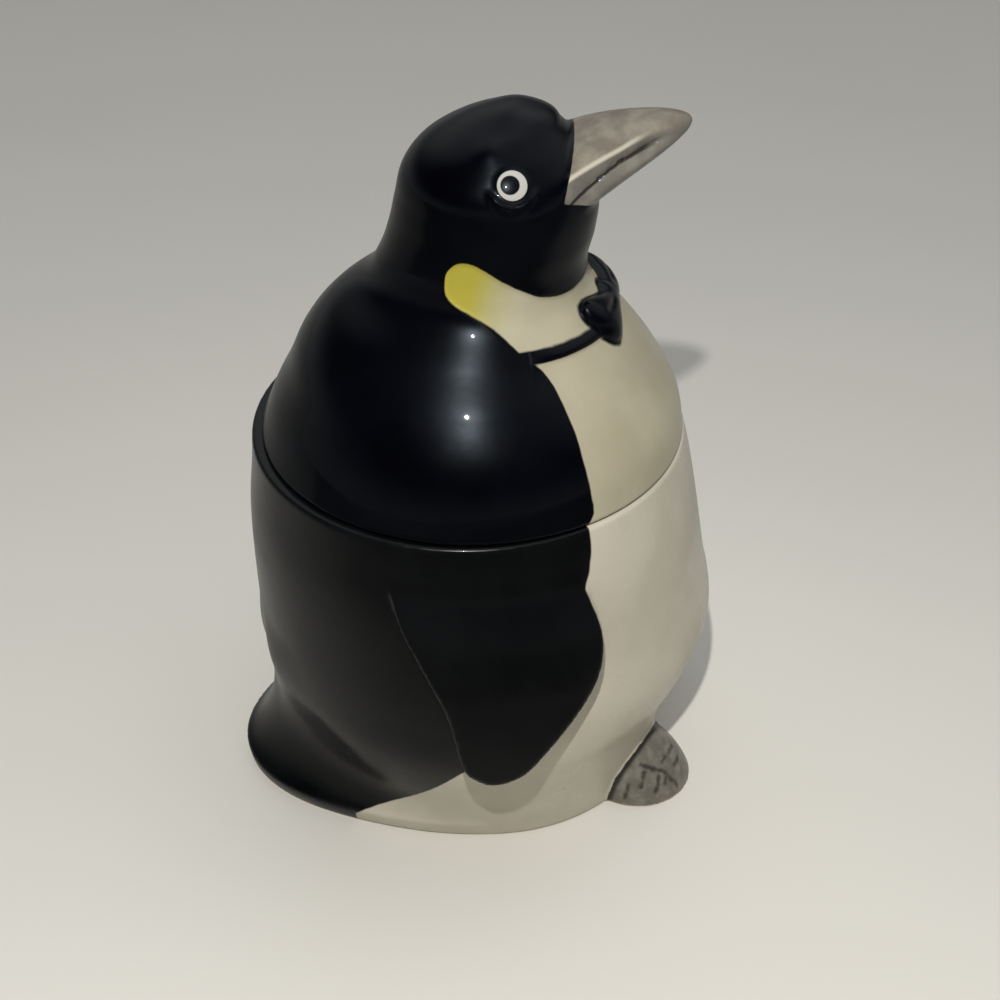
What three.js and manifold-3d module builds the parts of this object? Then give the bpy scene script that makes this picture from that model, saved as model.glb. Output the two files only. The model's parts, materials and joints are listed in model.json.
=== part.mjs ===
// Penguin music box: a two-piece glazed ceramic jar with a wind-up musical movement in its foot.
// Millimetres, +Z up. The penguin faces -Y. The origin is on the table, under the middle of the jar.

import * as THREE from 'three';
import { mergeVertices } from 'three/addons/utils/BufferGeometryUtils.js';
import Module from 'manifold-3d';

const wasm = await Module();
wasm.setup();

// Ceramic castings
const JAR_HEIGHT = 110.6;
const LID_HEIGHT = 87.9;
const WALL = 5;
const FLOOR_THICKNESS = 5;
const EDGE_ROUND = 1.4;
const SEAT_GAP = 0.4;
const FLANGE_DEPTH = 7;
const FLANGE_WALL = 3.6;
const FLANGE_GAP = 0.9;
const FLANGE_LAP = 3;
const SHOULDER_SOLID = 9;
const HEAD_SOLID = 13;

// Outline of the jar at shares of its height: reach to the front, to the back and to each side
const JAR_OUTLINE = [
  { at: 0, front: 56, back: 46, side: 50.2 },
  { at: 0.14, front: 57.4, back: 50.5, side: 54.4 },
  { at: 0.26, front: 60.2, back: 55.5, side: 58.8 },
  { at: 0.36, front: 65.2, back: 59.2, side: 61.6 },
  { at: 0.47, front: 68.6, back: 61, side: 62.6 },
  { at: 0.63, front: 65.6, back: 61.4, side: 62.5 },
  { at: 0.81, front: 62, back: 60.8, side: 61.6 },
  { at: 0.94, front: 59, back: 59, side: 59.8 },
  { at: 1, front: 57.2, back: 58.4, side: 58.6 },
];

// Outline of the lid at shares of its height: shoulders, neck and head
const LID_OUTLINE = [
  { at: 0, front: 56.6, back: 54.8, side: 56.8 },
  { at: 0.1, front: 55.2, back: 52.2, side: 55 },
  { at: 0.2, front: 50.4, back: 47.6, side: 49.8 },
  { at: 0.3, front: 44.3, back: 43.4, side: 43.8 },
  { at: 0.4, front: 37, back: 36.4, side: 36.4 },
  { at: 0.49, front: 31, back: 26.6, side: 29 },
  { at: 0.56, front: 30, back: 22.6, side: 26.2 },
  { at: 0.65, front: 31.6, back: 19.6, side: 25.2 },
  { at: 0.74, front: 32.2, back: 17.7, side: 24.6 },
  { at: 0.82, front: 30.6, back: 15.8, side: 23.2 },
  { at: 0.89, front: 27.2, back: 11.2, side: 19 },
  { at: 0.945, front: 22.8, back: 3.8, side: 13.4 },
  { at: 0.98, front: 18.8, back: -4.4, side: 7.2 },
  { at: 1, front: 12.2, back: -11.2, side: 0.8 },
];

// Leaf of a flipper on the jar's flank: place along Y and drop below the rim
const FLIPPER_OUTLINE = [
  [-24, 3.6], [-32, 18.6], [-35, 34.6], [-32, 50.6], [-22, 65.6], [-11, 72.6],
  [-5, 69.6], [0, 58.6], [7, 40.6], [15, 24.6], [19, 3.6],
];

// Flippers, tail and feet moulded on the jar
const FLIPPER_RELIEF = 5.5;
const FLIPPER_TIP_FLARE = 2.5;
const FLIPPER_DRAFT = 38;
const FLIPPER_ROOT = 40;
const TAIL_REACH = 70.8;
const TAIL_WIDTH = 72;
const TAIL_TURN = 17;
const TAIL_ROOT = 26;
const TAIL_HEIGHT = 42;
const TAIL_LIP_HEIGHT = 6;
const TAIL_LIP_ROUND = 1.8;
const TAIL_RUN_IN = 22;
const TAIL_HOLLOW = 0.75;
const TAIL_SQUARENESS = 2;
const FOOT_LENGTH = 33;
const FOOT_WIDTH = 31;
const FOOT_HEIGHT = 19.5;
const FOOT_SPREAD = 23.4;
const FOOT_REACH = 49;
const FOOT_TOE_OUT = 2;
const FOOT_LEAN = 7;
const FOOT_LEVELS = [0, 0.2, 0.45, 0.7, 0.9, 0.99];

// Beak, eyes and bow tie moulded on the lid
const BEAK_LENGTH = 32.8;
const BEAK_WIDTH = 34;
const BEAK_HEIGHT = 24;
const BEAK_RISE = 23.3;
const BEAK_TIP = 5;
const BEAK_TAPER = 0.85;
const BEAK_SQUARENESS = 2.5;
const BEAK_SADDLE = 2.6;
const BEAK_HOLLOW = 0.6;
const BEAK_ROOT_Y = -23;
const BEAK_DROP = 17.3;
const EYE_DIAMETER = 9;
const EYE_BULGE = 0.9;
const EYE_DROP = 12.2;
const EYE_ANGLE = 82;
const EYE_TILT = 28;
const BOW_SPAN = 36;
const BOW_HEIGHT = 14.5;
const BOW_THICKNESS = 6.6;
const BOW_LEVEL = 36.6;
const BOW_WRAP_RADIUS = 40;
const KNOT_SPAN = 8;
const KNOT_HEIGHT = 10.4;
const KNOT_THICKNESS = 6.8;
const BAND_WIDTH = 3;
const BAND_RELIEF = 1;
const BAND_DROP = 1.1;
const BAND_HALF_ANGLE = 64;

// Bow wing from knot to end: shares of its half span, of its height and of its thickness
const BOW_WING_SECTIONS = [
  [0.06, 0.3, 0.6], [0.3, 0.55, 0.8], [0.65, 0.85, 1], [0.93, 1, 0.9], [1, 0.8, 0.4],
];

// Base plate that closes the foot and carries the movement
const FOOT_RING_WIDTH = 4;
const PLATE_THICKNESS = 2.5;
const SEAL_WIDTH = 2.4;
const RING_CLEARANCE = 0.3;
const LEDGE_OVERLAP = 1.2;
const LEDGE_THICKNESS = 4;

// Bedplate of the movement
const CYLINDER_Y = -5;
const LEG_DIAMETER = 7;
const BED_THICKNESS = 2;
const BED_MARGIN = 1.6;
const LEG_PLACES = [[-17, 15.5], [25.5, 10], [4, -19.5]];
const BEARING_MARGIN = 1.6;
const SEAT = 0.1;
const FIT = 0.08;

// Mainspring barrel with its crown teeth
const BARREL_DIAMETER = 25.6;
const BARREL_HEIGHT = 6.6;
const BARREL_WALL = 1.2;
const BARREL_LIFT = 0.4;
const CROWN_FACE = 2.2;
const CROWN_TEETH = 30;
const COVER_THICKNESS = 0.8;
const SPRING_STRIP = 0.35;
const SPRING_TURNS = 5;
const ARBOR_DIAMETER = 3.2;
const RATCHET_DIAMETER = 13;
const RATCHET_THICKNESS = 1.5;
const RATCHET_TEETH = 16;
const RATCHET_DEPTH = 0.9;
const CLICK_ANGLE = 58;
const CLICK_STRIP = 0.6;
const CLICK_TAB = 1;
const CLICK_SCREW_OFFSET = [15, 11];

// Winding key
const KEY_SPAN = 25;
const KEY_HEIGHT = 8.6;
const KEY_BLADE = 1.8;
const KEY_HUB_DIAMETER = 6;
const KEY_BLADE_HEIGHT = 7.3;
const KEY_TABLE_CLEARANCE = 2.2;
const KEY_PLATE_CLEARANCE = 1.2;
const KEY_SOCKET_DEPTH = 5;

// Tune cylinder and comb
const NOTES = 18;
const NOTE_PITCH = 1;
const CYLINDER_DIAMETER = 12;
const CYLINDER_SHELL = 0.8;
const CYLINDER_END = 0.75;
const PIN_HEIGHT = 0.7;
const PIN_WIDTH = 0.4;
const PIN_STEPS = 40;
const PINS_PER_NOTE = 2;
const PIN_GAP = 0.3;
const CYLINDER_ARBOR_DIAMETER = 2;
const PINION_TEETH = 8;
const POST_THICKNESS = 1.2;
const RUNNING_GAP = 0.5;
const COMB_THICKNESS = 1;
const COMB_SLOT = 0.35;
const COMB_LONGEST = 14;
const COMB_SHORTEST = 8.5;
const COMB_HEEL = 7.5;
const COMB_SCREW_SPACING = 10.8;

// Gear train and air-brake governor
const WHEEL_TEETH = 30;
const TRAIN_MODULE = 0.4;
const TRAIN_FACE = 1.2;
const SMALL_PINION_TEETH = 10;
const SMALL_ARBOR_DIAMETER = 1.4;
const WORM_WHEEL_TEETH = 20;
const WORM_MODULE = 0.5;
const WORM_STARTS = 2;
const WORM_PITCH_RADIUS = 1.35;
const WORM_DEPTH_SHARE = 0.76;
const WORM_BACKLASH = 0.15;
const WORM_SHAFT_DIAMETER = 1.2;
const WORM_LENGTH = 6;
const FAN_DIAMETER = 8;
const FAN_BLADE = 0.5;
const FAN_HUB_WALL = 0.8;
const FAN_FLOOR_GAP = 1.1;
const BRACKET_THICKNESS = 1;

// Stop plunger: its foot feels the table, its tip brakes the fan
const PLUNGER_DIAMETER = 2.4;
const PLUNGER_COLLAR_DIAMETER = 5;
const PLUNGER_COLLAR_THICKNESS = 0.8;
const PLUNGER_TRAVEL = 2.4;
const BRAKE_RIM = 0.2;
const BRAKE_GAP = 0.3;
const COIL_LENGTH = 3.3;
const COIL_WIRE = 0.4;
const COIL_TURNS = 4;

// Screws
const SCREW_DIAMETER = 2.4;
const SCREW_HEAD_DIAMETER = 4.6;
const SCREW_HEAD_HEIGHT = 1.4;
const SCREW_SLOT = 0.7;
const SCREW_BITE = 4.5;

// Roundness of the facets
const RING_POINTS = 32;
const ROUND_POINTS = 28;
const SMALL_POINTS = 12;
const OVAL_POINTS = 10;
const FOOT_POINTS = 20;
const BEAK_POINTS = 16;
const BAND_POINTS = 6;
const SCREW_POINTS = 8;
const COIL_POINTS = 5;

// How far a cutting body runs past the face it cuts
const OVERCUT = 1;

// Heights worked out from the sizes above
const LID_BASE = JAR_HEIGHT + SEAT_GAP;
const KEY_TOP = KEY_TABLE_CLEARANCE + KEY_HEIGHT;
const PLATE_BOTTOM = KEY_TOP + KEY_PLATE_CLEARANCE;
const PLATE_TOP = PLATE_BOTTOM + PLATE_THICKNESS;
const COLLAR_BASE = PLATE_TOP + PLUNGER_TRAVEL + SEAT;
const COLLAR_TOP = COLLAR_BASE + PLUNGER_COLLAR_THICKNESS;
const BED_BOTTOM = COLLAR_TOP + COIL_LENGTH;
const BED_TOP = BED_BOTTOM + BED_THICKNESS;
const RATCHET_BASE = (PLATE_TOP + BED_BOTTOM - RATCHET_THICKNESS) / 2;
const BARREL_BASE = BED_TOP + BARREL_LIFT;
const CROWN_ROOT = BARREL_BASE + BARREL_HEIGHT;
const CROWN_BASE = CROWN_ROOT - COVER_THICKNESS;
const CROWN_RADIUS = BARREL_DIAMETER / 2 - CROWN_FACE / 2;
const CROWN_MODULE = 2 * CROWN_RADIUS / CROWN_TEETH;
const CROWN_TIP = CROWN_ROOT + 2.1 * CROWN_MODULE;
const AXIS_Z = CROWN_TIP - CROWN_MODULE + CROWN_MODULE * PINION_TEETH / 2;
const COMB_BOTTOM = AXIS_Z - COMB_THICKNESS / 2;
const PIN_RADIUS = CYLINDER_DIAMETER / 2 + PIN_HEIGHT;
const CHAMBER_TOP = AXIS_Z + PIN_RADIUS + RUNNING_GAP;
const BRIDGE_TOP = CHAMBER_TOP - RUNNING_GAP;
const BRIDGE_BOTTOM = BRIDGE_TOP - BRACKET_THICKNESS;
const FLOOR_TOP = CHAMBER_TOP + FLOOR_THICKNESS;

// Worm drive and fan
const WORM_WHEEL_RADIUS = WORM_MODULE * WORM_WHEEL_TEETH / 2;
const WORM_LEAD = Math.PI * WORM_MODULE * WORM_STARTS;
const FAN_BASE = BED_TOP + FAN_FLOOR_GAP + BRAKE_GAP;
const FAN_TOP = AXIS_Z - WORM_WHEEL_RADIUS - WORM_MODULE - RUNNING_GAP;

// Lengths along the cylinder's axis, with the movement centred over the foot
const CYLINDER_LENGTH = NOTES * NOTE_PITCH + 2 * CYLINDER_END;
const TAB_LENGTH = SCREW_HEAD_DIAMETER + 1;
const TRAIN_LENGTH = FIT + TRAIN_FACE + RUNNING_GAP;
const BRACKET_LENGTH = 2 * BRACKET_THICKNESS + 2 * RUNNING_GAP + FAN_DIAMETER;
const MOVEMENT_LENGTH = BARREL_DIAMETER + 2 * RUNNING_GAP + POST_THICKNESS + CYLINDER_LENGTH
  + TRAIN_LENGTH + BRACKET_LENGTH + TAB_LENGTH;
const BARREL_X = (BARREL_DIAMETER - MOVEMENT_LENGTH) / 2;

// Places along the cylinder's axis
const POST_X = BARREL_X + BARREL_DIAMETER / 2 + RUNNING_GAP;
const PINION_X = BARREL_X + BARREL_DIAMETER / 2 - CROWN_FACE;
const CYLINDER_X = POST_X + POST_THICKNESS + RUNNING_GAP;
const COMB_X0 = CYLINDER_X + CYLINDER_END;
const COMB_X1 = COMB_X0 + NOTES * NOTE_PITCH;
const WHEEL_X = CYLINDER_X + CYLINDER_LENGTH + FIT;
const BRACKET_X = CYLINDER_X + CYLINDER_LENGTH + TRAIN_LENGTH;
const BRACKET_END_X = BRACKET_X + BRACKET_LENGTH - BRACKET_THICKNESS;
const WORM_X = (BRACKET_X + BRACKET_THICKNESS + BRACKET_END_X) / 2;
const WORM_WHEEL_X = WORM_X - TRAIN_FACE / 2;
const PLUNGER_X = WORM_X - FAN_DIAMETER / 2 + PLUNGER_DIAMETER / 2 + BRAKE_RIM;

// Places across the cylinder's axis
const SMALL_ARBOR_Y = CYLINDER_Y - TRAIN_MODULE * (WHEEL_TEETH + SMALL_PINION_TEETH) / 2;
const WORM_Y = SMALL_ARBOR_Y - WORM_WHEEL_RADIUS - WORM_PITCH_RADIUS - WORM_BACKLASH;
const BRACKET_FRONT_Y = WORM_Y - WORM_SHAFT_DIAMETER / 2 - BEARING_MARGIN;
const COMB_TIP_Y = CYLINDER_Y + PIN_RADIUS + PIN_GAP;
const COMB_ROOT_Y = COMB_TIP_Y + COMB_LONGEST;
const COMB_BACK_Y = COMB_ROOT_Y + COMB_HEEL;

// Places of the screws
const COMB_SCREW_PLACES = [-1, 1].map((side) => [
  (COMB_X0 + COMB_X1 + side * COMB_SCREW_SPACING) / 2,
  (COMB_ROOT_Y + COMB_BACK_Y) / 2,
]);
const BRACKET_SCREW_PLACES = [
  [BRACKET_X - TAB_LENGTH / 2, BRACKET_FRONT_Y + TAB_LENGTH / 2],
  [BRACKET_END_X + BRACKET_THICKNESS + TAB_LENGTH / 2, SMALL_ARBOR_Y + TAB_LENGTH / 2],
];
const CLICK_SCREW_PLACE = [BARREL_X + CLICK_SCREW_OFFSET[0], CYLINDER_Y + CLICK_SCREW_OFFSET[1]];

// Radii of the base
const { front: FOOT_FRONT, back: FOOT_BACK, side: FOOT_SIDE } = JAR_OUTLINE[0];
const RECESS_RADIUS = Math.min(FOOT_FRONT, FOOT_BACK, FOOT_SIDE) - FOOT_RING_WIDTH;
const PLATE_RADIUS = RECESS_RADIUS - SEAL_WIDTH - 2 * RING_CLEARANCE;
const CHAMBER_RADIUS = PLATE_RADIUS - LEDGE_OVERLAP;
const BED_RADIUS = CHAMBER_RADIUS - BED_MARGIN;

// Finishes
const GLAZE = { jar: [0x14171f, 0.2, 0], lid: [0x0c0f18, 0.12, 0] };
const BRASS = [0xb8934a, 0.35, 0.9];
const STEEL = [0x9a9c9e, 0.35, 0.9];
const SPRING_STEEL = [0x5a6470, 0.3, 0.9];
const ZINC = [0x8d9094, 0.5, 0.8];

const radians = THREE.MathUtils.degToRad;

// A closed solid from a geometry: shared points merged, empty triangles dropped, faces turned outwards
function solid(geometry) {
  const bare = geometry.clone();
  bare.deleteAttribute('normal');
  bare.deleteAttribute('uv');
  const merged = mergeVertices(bare, 1e-4);
  const points = merged.attributes.position.array;
  const index = merged.index.array;
  const triangles = [];
  let volume = 0;
  for (let i = 0; i < index.length; i += 3) {
    const [a, b, c] = [index[i], index[i + 1], index[i + 2]];
    if (a === b || b === c || c === a) continue;
    triangles.push(a, b, c);
    const [p, q, r] = [a, b, c].map((k) => new THREE.Vector3().fromArray(points, 3 * k));
    volume += p.dot(q.cross(r));
  }
  if (volume < 0) triangles.reverse();
  const mesh = new wasm.Mesh({
    numProp: 3,
    vertProperties: Float32Array.from(points),
    triVerts: Uint32Array.from(triangles),
  });
  return new wasm.Manifold(mesh);
}

// The geometry of a finished solid
function geometryOf(body) {
  const mesh = body.getMesh();
  const geometry = new THREE.BufferGeometry();
  geometry.setAttribute('position', new THREE.BufferAttribute(Float32Array.from(mesh.vertProperties), 3));
  geometry.setIndex(new THREE.BufferAttribute(Uint32Array.from(mesh.triVerts), 1));
  geometry.computeVertexNormals();
  return geometry;
}

// A skin through rings of points that hold the same number each, closed at both ends
function loft(rings) {
  const count = rings[0].length;
  const points = rings.flat(2);
  const triangles = [];
  for (let k = 0; k + 1 < rings.length; k += 1) {
    for (let i = 0; i < count; i += 1) {
      const j = (i + 1) % count;
      const [a, b] = [k * count + i, k * count + j];
      triangles.push(a, b, b + count, a, b + count, a + count);
    }
  }
  for (const [ring, flip] of [[0, true], [rings.length - 1, false]]) {
    const middle = [0, 1, 2].map((axis) => rings[ring].reduce((sum, p) => sum + p[axis], 0) / count);
    const centre = points.length / 3;
    points.push(...middle);
    for (let i = 0; i < count; i += 1) {
      const [a, b] = [ring * count + i, ring * count + (i + 1) % count];
      triangles.push(...(flip ? [centre, b, a] : [centre, a, b]));
    }
  }
  const geometry = new THREE.BufferGeometry();
  geometry.setAttribute('position', new THREE.BufferAttribute(Float32Array.from(points), 3));
  geometry.setIndex(triangles);
  return solid(geometry);
}

// A band whose section changes round the Z axis and closes on itself
function sweepRound(sections) {
  const count = sections[0].length;
  const triangles = [];
  for (let k = 0; k < sections.length; k += 1) {
    const next = ((k + 1) % sections.length) * count;
    for (let i = 0; i < count; i += 1) {
      const j = (i + 1) % count;
      triangles.push(k * count + i, k * count + j, next + j, k * count + i, next + j, next + i);
    }
  }
  const geometry = new THREE.BufferGeometry();
  geometry.setAttribute('position', new THREE.BufferAttribute(Float32Array.from(sections.flat(2)), 3));
  geometry.setIndex(triangles);
  return solid(geometry);
}

function box(x0, x1, y0, y1, z0, z1) {
  const geometry = new THREE.BoxGeometry(x1 - x0, y1 - y0, z1 - z0);
  return solid(geometry.translate((x0 + x1) / 2, (y0 + y1) / 2, (z0 + z1) / 2));
}

// Round bars along Z and along X
function barZ(radius, x, y, z0, z1, points = SMALL_POINTS) {
  const geometry = new THREE.CylinderGeometry(radius, radius, z1 - z0, points);
  return solid(geometry.rotateX(Math.PI / 2).translate(x, y, (z0 + z1) / 2));
}

function barX(radius, y, z, x0, x1, points = SMALL_POINTS) {
  const geometry = new THREE.CylinderGeometry(radius, radius, x1 - x0, points);
  return solid(geometry.rotateX(Math.PI / 2).rotateY(Math.PI / 2).translate((x0 + x1) / 2, y, z));
}

// A turned piece from [radius, height] points, standing on the Z axis
function turned(profile, points = SMALL_POINTS) {
  const geometry = new THREE.LatheGeometry(profile.map(([r, z]) => new THREE.Vector2(r, z)), points);
  return solid(geometry.rotateX(Math.PI / 2));
}

function extruded(shape, depth) {
  return solid(new THREE.ExtrudeGeometry(shape, { depth, bevelEnabled: false, curveSegments: 8 }));
}

const union = (bodies) => bodies.reduce((sum, body) => sum.add(body));
const without = (body, cuts) => cuts.reduce((rest, cut) => rest.subtract(cut), body);

// Sine or cosine of an oval that is squarer than an ellipse
const squared = (value, squareness) => Math.sign(value) * Math.abs(value) ** (2 / squareness);

// Mirror image across the middle plane of the penguin
const mirrored = (body) => body.mirror([1, 0, 0]);

// Smooth outline: reaches at any share of a casting's height
function outline(stations) {
  const reaches = stations.flatMap(({ front, back, side }) => [front, back, side]);
  const curve = new THREE.CubicInterpolant(stations.map(({ at }) => at), reaches, 3, new Float64Array(3));
  return (share) => {
    const [front, back, side] = curve.evaluate(THREE.MathUtils.clamp(share, 0, 1));
    return { depth: (front + back) / 2, centre: (back - front) / 2, side };
  };
}

const jarOutline = outline(JAR_OUTLINE);
const lidOutline = outline(LID_OUTLINE);

// A level ring round a casting at one height, drawn in by an inset, or out where it is negative
function ring({ depth, centre, side }, z, inset, points = RING_POINTS) {
  return Array.from({ length: points }, (_, i) => {
    const angle = 2 * Math.PI * i / points;
    return [-(side - inset) * Math.sin(angle), centre - (depth - inset) * Math.cos(angle), z];
  });
}

const jarRing = (z, inset, points) => ring(jarOutline(z / JAR_HEIGHT), z, inset, points);
const lidRing = (z, inset, points) => ring(lidOutline((z - LID_BASE) / LID_HEIGHT), z, inset, points);

// Evenly spaced values, both ends included
const levels = (from, to, steps) =>
  Array.from({ length: steps + 1 }, (_, i) => from + (to - from) * i / steps);

// Quarter-round edge: pairs of height and inset from a flat face inwards
const edge = [[0, 1], [0.3, 0.3], [1, 0]].map(([h, inset]) => [h * EDGE_ROUND, inset * EDGE_ROUND]);

// Jar body: one hollow casting with its flippers, tail, feet, floor and foot ring
function jarBody() {
  const low = edge.map(([h, inset]) => jarRing(h, inset));
  const high = edge.toReversed().map(([h, inset]) => jarRing(JAR_HEIGHT - h, inset));
  const side = levels(EDGE_ROUND, JAR_HEIGHT - EDGE_ROUND, 12).slice(1, -1).map((z) => jarRing(z, 0));
  const flipper = jarFlipper();
  const foot = jarFoot();
  const shell = union([
    loft([...low, ...side, ...high]), flipper, mirrored(flipper), jarTail(), foot, mirrored(foot),
  ]);

  const inside = (heights) => loft(heights.map((z) => jarRing(z, WALL, ROUND_POINTS)));
  const ledgeTop = PLATE_TOP + LEDGE_THICKNESS;
  const compartment = inside([...levels(FLOOR_TOP, JAR_HEIGHT, 5), JAR_HEIGHT + OVERCUT]);
  const chamber = inside(levels(ledgeTop, CHAMBER_TOP, 3));
  const throat = barZ(CHAMBER_RADIUS, 0, 0, PLATE_BOTTOM, ledgeTop + OVERCUT, ROUND_POINTS);
  const recess = barZ(RECESS_RADIUS, 0, 0, -OVERCUT, PLATE_TOP + SEAT, ROUND_POINTS);
  return without(shell, [compartment, chamber, throat, recess]);
}

// Flipper: a leaf cut from a skin that rises out of the shoulder and flares towards its tip
function jarFlipper() {
  const drops = FLIPPER_OUTLINE.map(([, drop]) => drop);
  const [top, tip] = [JAR_HEIGHT - Math.min(...drops), JAR_HEIGHT - Math.max(...drops)];
  const relief = (z) => {
    const share = THREE.MathUtils.clamp((top - z) / (top - tip), 0, 1);
    const rise = THREE.MathUtils.smoothstep(top - z, 0, FLIPPER_DRAFT);
    return FLIPPER_RELIEF * rise + FLIPPER_TIP_FLARE * share ** 2;
  };
  const start = top - FLIPPER_DRAFT / 8;
  const skin = loft(levels(tip - OVERCUT, start, 9).map((z) => jarRing(z, -relief(z))));
  const points = FLIPPER_OUTLINE.map(([y, drop]) => new THREE.Vector2(y, JAR_HEIGHT - drop));
  const path = new THREE.SplineCurve(points);
  const leaf = extruded(new THREE.Shape(path.getPoints(24)), JAR_HEIGHT)
    .rotate([90, 0, 90])
    .translate([-JAR_HEIGHT - FLIPPER_ROOT, 0, 0]);
  return skin.intersect(leaf);
}

// Tail: a skirt that flares at the back, turned a little to the right, and tucks under to the table
function jarTail() {
  const rings = [0, TAIL_LIP_HEIGHT / 2, ...levels(TAIL_LIP_HEIGHT, TAIL_HEIGHT, 6)].map((z) => {
    const under = Math.max(0, 1 - z / TAIL_LIP_HEIGHT);
    const rise = Math.max(0, z - TAIL_LIP_HEIGHT) / (TAIL_HEIGHT - TAIL_LIP_HEIGHT);
    const tucked = TAIL_LIP_ROUND * under ** 2 + TAIL_RUN_IN * rise ** TAIL_HOLLOW;
    const [reach, half] = [TAIL_REACH - tucked, TAIL_WIDTH / 2 - tucked];
    return Array.from({ length: RING_POINTS }, (_, i) => {
      const angle = 2 * Math.PI * i / RING_POINTS;
      const across = squared(Math.sin(angle), TAIL_SQUARENESS);
      const along = squared(Math.cos(angle), TAIL_SQUARENESS);
      const depth = along > 0 ? reach - TAIL_ROOT : TAIL_ROOT - WALL;
      return [half * across, TAIL_ROOT + depth * along, z];
    });
  });
  return loft(rings).rotate([0, 0, TAIL_TURN]);
}

// Foot: a low wedge that leans back under the belly and turns its toes out
function jarFoot() {
  const rings = FOOT_LEVELS.map((share) => {
    const size = Math.sqrt(1 - share ** 2);
    return Array.from({ length: FOOT_POINTS }, (_, i) => {
      const angle = 2 * Math.PI * i / FOOT_POINTS;
      return [
        FOOT_WIDTH / 2 * size * Math.sin(angle),
        FOOT_LENGTH / 2 * size * Math.cos(angle) + FOOT_LEAN * share,
        FOOT_HEIGHT * share,
      ];
    });
  });
  return loft(rings).rotate([0, 0, -FOOT_TOE_OUT]).translate([-FOOT_SPREAD, -FOOT_REACH, 0]);
}

// Lid: head and shoulders in one hollow casting, with a flange that drops into the jar's mouth
function lid() {
  const low = edge.map(([h, inset]) => lidRing(LID_BASE + h, inset));
  const at = (share) => LID_BASE + share * LID_HEIGHT;
  const side = levels(LID_BASE + EDGE_ROUND, at(0.75), 11).slice(1).map((z) => lidRing(z, 0));
  const cap = [0.81, 0.87, 0.92, 0.955, 0.98, 1].map((share) => lidRing(at(share), 0));
  const eye = lidEye();
  const wing = bowWing();
  const outside = union([
    loft([...low, ...side, ...cap]),
    beak(), eye, mirrored(eye), wing, mirrored(wing), bowKnot(), neckBand(),
  ]);

  const [outer, inner] = [WALL + FLANGE_GAP, WALL + FLANGE_GAP + FLANGE_WALL];
  const mouthRing = (z, inset, points) => ring(jarOutline(1), LID_BASE + z, inset, points);
  const flange = loft([-FLANGE_DEPTH, FLANGE_LAP].map((z) => mouthRing(z, outer)));
  const mouth = [-FLANGE_DEPTH - OVERCUT, FLANGE_LAP].map((z) => mouthRing(z, inner, ROUND_POINTS));
  const hollow = levels(LID_BASE + SHOULDER_SOLID, LID_BASE + LID_HEIGHT - HEAD_SOLID, 7)
    .map((z) => lidRing(z, WALL, ROUND_POINTS));
  return outside.add(flange).subtract(loft([...mouth, ...hollow]));
}

// Point on the lid's skin at a height above its edge and an angle from the front towards the right flank
function lidSkin(height, angle) {
  const { depth, centre, side } = lidOutline(height / LID_HEIGHT);
  return [-side * Math.sin(angle), centre - depth * Math.cos(angle), LID_BASE + height];
}

// Beak: squarish oval sections that shrink towards a blunt, rounded tip
function beak() {
  const rise = radians(BEAK_RISE);
  const rings = levels(0, 0.99, 8).map((share) => {
    const tip = BEAK_TIP / 2 * Math.sqrt(1 - share ** 6);
    const taper = (1 - share) ** BEAK_TAPER;
    const half = tip + taper * (BEAK_WIDTH - BEAK_TIP) / 2;
    const high = tip + taper * (BEAK_HEIGHT - BEAK_TIP) / 2;
    const [saddle, hollow] = [BEAK_SADDLE * (1 - share) ** 4, BEAK_HOLLOW * Math.sin(Math.PI * share)];
    const y = BEAK_ROOT_Y - BEAK_LENGTH * share * Math.cos(rise);
    const z = LID_BASE + LID_HEIGHT - BEAK_DROP + BEAK_LENGTH * share * Math.sin(rise);
    return Array.from({ length: BEAK_POINTS }, (_, i) => {
      const angle = 2 * Math.PI * i / BEAK_POINTS;
      const across = squared(Math.sin(angle), BEAK_SQUARENESS);
      const up = squared(Math.cos(angle), BEAK_SQUARENESS);
      return [half * across, y, z + (high - (up > 0 ? saddle : hollow)) * up];
    });
  });
  return loft(rings);
}

// Eye: a flat dome on the flank of the head
function lidEye() {
  const [x, y, z] = lidSkin(LID_HEIGHT - EYE_DROP, radians(EYE_ANGLE));
  const dome = new THREE.SphereGeometry(EYE_DIAMETER / 2, 12, 6);
  dome.scale(2 * EYE_BULGE / EYE_DIAMETER, 1, 1).rotateY(radians(EYE_TILT)).rotateZ(radians(90 - EYE_ANGLE));
  return solid(dome.translate(x, y, z));
}

// Frame of the bow tie: it lies on the slope of the chest and wraps round it
function onChest(across, up, out) {
  const [, y, z] = lidSkin(BOW_LEVEL, 0);
  const [, above] = lidSkin(BOW_LEVEL + 1, 0);
  const slope = Math.atan2(1, above - y);
  const wrap = across ** 2 / (2 * BOW_WRAP_RADIUS);
  return [
    across,
    y + up * Math.cos(slope) - out * Math.sin(slope) + wrap,
    z + up * Math.sin(slope) + out * Math.cos(slope),
  ];
}

// Oval section of the bow tie
function bowSection(across, height, thickness) {
  return Array.from({ length: OVAL_POINTS }, (_, i) => {
    const angle = 2 * Math.PI * i / OVAL_POINTS;
    return onChest(across, height / 2 * Math.cos(angle), thickness / 2 * Math.sin(angle));
  });
}

function bowWing() {
  return loft(BOW_WING_SECTIONS.map(([share, tall, thick]) =>
    bowSection(-BOW_SPAN / 2 * share, BOW_HEIGHT * tall, BOW_THICKNESS * thick)));
}

function bowKnot() {
  return loft(levels(-0.96, 0.96, 6).map((share) => {
    const size = Math.sqrt(1 - share ** 2);
    return bowSection(KNOT_SPAN / 2 * share, KNOT_HEIGHT * size, KNOT_THICKNESS * size);
  }));
}

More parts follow.
